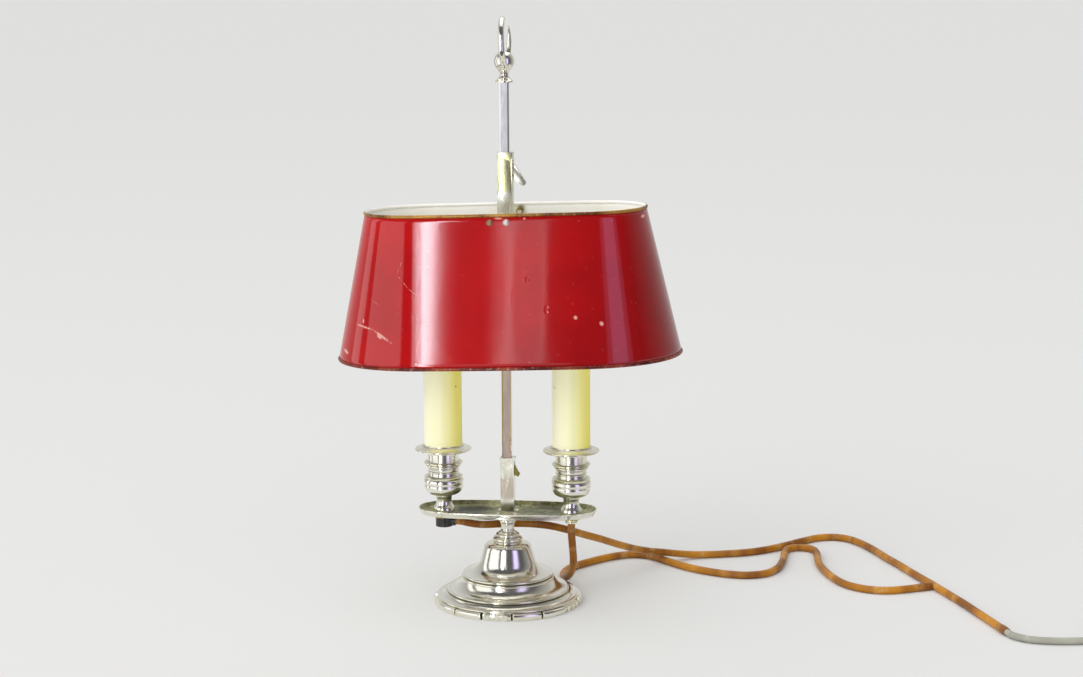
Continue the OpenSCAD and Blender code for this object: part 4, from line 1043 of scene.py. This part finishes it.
def tray():
    over_rim = [(1.2, 2.4), (0.35, 1.3), (0.08, 0.95), (0, 0.6), (0.08, 0.25), (0.3, 0.05), (0.55, 0),
                (0.8, 0.08), (rim_w, 0.3), (rim_w + 0.3, 0.8)]
    steps = [(tray_flare, tray_low), (tray_flare - 0.8, tray_low + 0.3)]
    steps += [(inset, tray_high - below) for inset, below in over_rim]
    onto_floor = [(-0.4, 1.0), (0.3, 0.35), (1.2, 0)]
    steps += [(tray_flare + inset, floor_z + up) for inset, up in onto_floor]
    bm = bmesh.new()
    loops = []
    for inset, height in steps:
        verts = [bm.verts.new((x * MM, y * MM, height * MM)) for x, y in tray_outline(inset)]
        loops.append([bm.edges.new(pair) for pair in zip(verts, verts[1:] + verts[:1])])
    for lower, upper in zip(loops, loops[1:]):
        bmesh.ops.bridge_loops(bm, edges=lower + upper)
    for loop in (loops[0], loops[-1]):
        bmesh.ops.edgeloop_fill(bm, edges=loop)
    bmesh.ops.recalc_face_normals(bm, faces=bm.faces)
    below_rim = (tray_high - 0.5) * MM
    for face in bm.faces:
        inside = face.normal.z > 0.3 and face.calc_center_median().z < below_rim
        face.material_index = 1 if inside else 0
    return bm


ridden(tray(), "tray", [SILVER, TARNISH])

# %% [markdown]
# ## Sleeves and levers
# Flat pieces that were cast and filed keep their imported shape, with the long edges rounded, because
# a bright line along each edge is what makes filed metal look real.

# %% Sleeves, levers and caps
def dressed(node, width, axes, material=None):
    bm = softened(node, width, axes) if width else merged(node)
    return ridden(bm, node, [material] if material else None)


dressed("tray_sleeve", 0.25, [0, 1, 2], TRAY_SLEEVE_PLATE)
dressed("shade_sleeve", 0.3, [0, 1, 2], SHADE_SLEEVE_PLATE)
dressed("shade_lever", 0.35, [1], SHADE_SLEEVE_PLATE)
dressed("tray_lever", 0.3, [1])
dressed("shade_screws", 0, [], FASTENERS)
for node in ("tray_rivets", "cord_ferrule_right", "cord_cap_left", "nipple_nuts"):
    dressed(node, 0, [])

# %% [markdown]
# ## The painted shade
# The shade is one strip of sheet, rolled into an oval and drawn in towards the top. A circle is cut
# in two, its halves are moved apart, and the loop is extruded upwards and drawn in level by level. A
# hand-rolled sheet is never quite flat: a low crown and a few soft waves break the reflections up.

# %% Shade shell
shade_flat, shade_bottom_r, shade_top_r, shade_h, sheet = 61.0, 70.0, 46.0, 109.5, 0.8
shade_z, sides_in = 195.5, 1.5
lean_about_z = shade_z + shade_h - 4.6
lean_turn = Matrix.Rotation(math.radians(-1.5), 3, "Y")
waves = [(-24, 8, -0.05), (8, 7, 0.06), (21, 6, -0.06), (33, 6, 0.05)]


def bulge(x, up):
    """How far the long side stands out of its flat plane at x, in mm, up being 0 at the bottom."""
    ripple = sum(height * math.exp(-((x - at - 3 * up) / width) ** 2) for at, width, height in waves)
    return ripple * math.sin(math.pi * up) - sides_in * (x / shade_flat) ** 2


def out_from_axis(co):
    """The part of a place that lies outside the oval's straight axis."""
    return Vector((co.x - max(-shade_flat * MM, min(shade_flat * MM, co.x)), co.y, 0))


def bulged(co, up):
    """A place on the shade's plain oval, moved to where the sheet really runs.

    The slope that the long side has where it meets the round end is carried on into that end."""
    radius = out_from_axis(co).length / MM
    outwards = out_from_axis(co).normalized()
    inner_x = max(-shade_flat, min(shade_flat, co.x / MM))
    carried_on = 2 * sides_in / shade_flat * radius * abs(outwards.x)
    return co + outwards * ((bulge(inner_x, up) - carried_on) * abs(outwards.y) ** 6 * MM)


def lean_with_bracket(bm):
    bmesh.ops.rotate(bm, verts=bm.verts, cent=(0, 0, lean_about_z * MM), matrix=lean_turn)


def shade():
    levels = 28
    drawn_in = shade_top_r - shade_bottom_r
    radii = [shade_bottom_r + drawn_in * level / levels for level in range(levels + 1)]
    bm = bmesh.new()
    ring = bmesh.ops.create_circle(bm, segments=128, radius=shade_bottom_r * MM,
                                   matrix=Matrix.Translation((0, 0, shade_z * MM)))
    for vert in ring["verts"]:
        if abs(vert.co.x) > 0.001 * MM:
            vert.co.x += math.copysign(shade_flat * MM, vert.co.x)
    middles = [edge for edge in bm.edges if edge.calc_length() > shade_flat * MM / 2]
    bmesh.ops.subdivide_edges(bm, edges=middles, cuts=19, use_grid_fill=False)
    for vert in bm.verts:
        if abs(vert.co.x) < (shade_flat - 0.001) * MM:
            vert.co.y = math.copysign(shade_bottom_r * MM, vert.co.y)
    edges = list(bm.edges)
    for level in range(1, levels + 1):
        verts, edges = extruded(bm, edges)
        for vert in verts:
            vert.co -= out_from_axis(vert.co) * (1 - radii[level] / radii[level - 1])
            vert.co.z = (shade_z + shade_h * level / levels) * MM
    bmesh.ops.recalc_face_normals(bm, faces=bm.faces)
    for vert in bm.verts:
        vert.co = bulged(vert.co, (vert.co.z / MM - shade_z) / shade_h)
    lean_with_bracket(bm)
    return bm


shell = piece(shade(), "shade_shell", [RED, WHITE])
wall = shell.modifiers.new("wall", "SOLIDIFY")
wall.thickness, wall.offset, wall.material_offset = sheet * MM, -1, 1
ride(shell, "shade_shell")

# %% [markdown]
# ## Wired edges
# The sheet is rolled over a wire at both edges, which stiffens it. The white lining runs over the
# inner side of each roll, and the gilt shows outside.

# %% Wired edges
edge_wire_r, grip = 1.25, 0.9


def wired_edge(node, radius, height, gilt):
    """A rolled edge, whose path is the shade's oval at one height, in mm."""
    path = []
    for side in (-1, 1):
        path += arc((side * shade_flat, 0), radius, -90 * side, -90 * side + 180, 64)
        path += [(side * shade_flat * (1 - i / 10), side * radius) for i in range(1, 20)]
    points = [bulged(Vector((x, y, height)) * MM, 0) for x, y in path]
    bm = tube(points, edge_wire_r * MM, 16, closed=True)
    for face in bm.faces:
        inwards = face.normal.dot(out_from_axis(face.calc_center_median()).normalized())
        face.material_index = 1 if inwards < -0.1 else 0
    lean_with_bracket(bm)
    ridden(bm, node, [gilt, WHITE], limit=60)


wired_edge("shade_bottom_wire", shade_bottom_r - sheet / 2, shade_z - edge_wire_r + grip, DARK_GILT)
wired_edge("shade_top_wire", shade_top_r - sheet / 2, shade_z + shade_h + edge_wire_r - grip, GILT)

# %% [markdown]
# ## Pieces that stay as imported
# Pins, nuts, straps, washers and the parts inside the base keep their imported mesh. Each gets the
# finish of its slot.

# %% Carried-over pieces
for name, node in frame["nodes"].items():
    if not node.hide_render:
        node.data.materials.clear()
        node.data.materials.append(FINISH_OF[SLOT_OF[name]])
        print("kept:", name, FINISH_OF[SLOT_OF[name]].name)

# %% [markdown]
# ## Floor and light
# The lamp stands on a pale table top, and a floor of the same colour goes on to the horizon, where
# the backdrop takes its tone up. The world's light is stronger from the front left. Polished metal
# and gloss paint show a room instead: mirrors look past the table's edge, into a half that is dark in
# front and pale behind. The windows stand in the dark half and reach below the table, and their
# upright lights on the shade, bell and cups come from there.

# %% Floor and world
table_x, table_y, far = (-0.45, 0.75), (-0.26, 0.5), 400
floor_look = Finish("pale floor", base_color=(0.80, 0.80, 0.79, 1), roughness=0.9,
                    specular_ior_level=0.0)


def floor_part(name, inner):
    """The table top where the lamp and its cords lie, or all the floor beyond it."""
    bm = bmesh.new()
    half = 1.5                                  # of a grid of three squares of 1 m a side
    bmesh.ops.create_grid(bm, x_segments=3, y_segments=3, size=half)
    for vert in bm.verts:
        column, row = round(vert.co.x + half), round(vert.co.y + half)
        vert.co.x = (-far, *table_x, far)[column]
        vert.co.y = (-far, *table_y, far)[row]
    gone = [face for face in bm.faces if (face.calc_center_median().length < 1) != inner]
    bmesh.ops.delete(bm, geom=gone, context="FACES")
    mesh = bpy.data.meshes.new(name)
    bm.to_mesh(mesh)
    bm.free()
    mesh.materials.append(floor_look.material)
    part = in_scene(mesh)
    return part


floor_part("table_top", True)
far_floor = floor_part("far_floor", False)
far_floor.visible_glossy = far_floor.visible_shadow = False
print("table top", table_x, table_y)

dark_room, horizon, backdrop = (0.1, 0.1, 0.105, 1), (0.68, 0.68, 0.67, 1), (0.742, 0.742, 0.733, 1)
light_from = Vector((-0.62, -0.46, 0.64)).normalized()


def studio_world():
    """One light for matt surfaces, a room for mirrors and a plain backdrop for the camera."""
    world = bpy.data.worlds.new("studio")
    world.use_nodes = True
    look = Nodes(world.node_tree)
    toward = look.add("TexCoord", {})
    depth = look.range(look.add("SeparateXYZ", {0: toward}, output="Y"), -0.3, 0.9)
    facing = look.add("VectorMath", {0: toward, 1: light_from}, output=1, operation="DOT_PRODUCT")
    light = look.range(facing, -0.5, 1, 0.26, 1.34)
    room = look.mix(depth, dark_room, horizon)
    seen = look.mix(look.add("LightPath", {}, output="Is Glossy Ray"), light, room)
    seen = look.mix(look.add("LightPath", {}, output="Is Camera Ray"), seen, backdrop)
    look.feed(world.node_tree.nodes["Background"].inputs["Color"], seen)
    bpy.context.scene.world = world


studio_world()

# %% Windows
def area_light(name, width, height, brightness):
    data = bpy.data.lights.new(name, "AREA")
    data.shape = "RECTANGLE"
    data.size, data.size_y = width, height
    data.energy = brightness * width * height * math.pi
    light = in_scene(data)
    light.visible_camera = light.visible_diffuse = False
    return light


def window(name, left, right, low, high, brightness, colour=(1, 1, 1), reach=2.2):
    """A soft upright window between two azimuths: degrees from the front, the left being negative."""
    width = 2 * reach * math.tan(math.radians(right - left) / 2)
    light = area_light(name, width, high - low, brightness)
    light.data.color = colour
    angle = math.radians((left + right) / 2)
    away = Vector((math.sin(angle), -math.cos(angle), 0))
    light.location = away * reach + Vector((0, 0, (low + high) / 2))
    light.rotation_euler = (-away).to_track_quat("-Z", "Y").to_euler()
    return light


window("key window", -17.5, -15.0, -1.0, 1.9, 19.0, (0.88, 0.93, 1.0))
window("key window, faint left light", -21, -17.5, -1.0, 1.9, 3.0, (0.9, 0.93, 1.0))
window("left window", -79, -34, -1.0, 1.8, 1.1)
window("side window", -106, -90, -1.0, 1.8, 1.0)
window("front window", -7.9, -2.3, 0.4, 1.9, 1.0, (1.0, 0.86, 0.9))
window("front window, left light", -7.9, -5.6, 0.4, 1.1, 1.6, (1.0, 0.92, 0.94))
window("front window, right light", -3.4, -2.3, 0.4, 1.9, 1.0, (1.0, 0.92, 0.94))
window("low front light", -13, 1, -1.0, 0.4, 0.62)
window("right window", 28, 56, -1.0, 1.8, 0.5, (0.64, 0.56, 1.0))
window("right window, middle", 33, 50, -1.0, 1.8, 0.9, (0.64, 0.56, 1.0))
daylight = window("daylight", -62, -12, 1.2, 4.4, 1.25, reach=3.6)
daylight.visible_diffuse, daylight.visible_glossy = True, False
area_light("ceiling light", 2.6, 2.6, 1.2).location = (0, 0.9, 2.4)
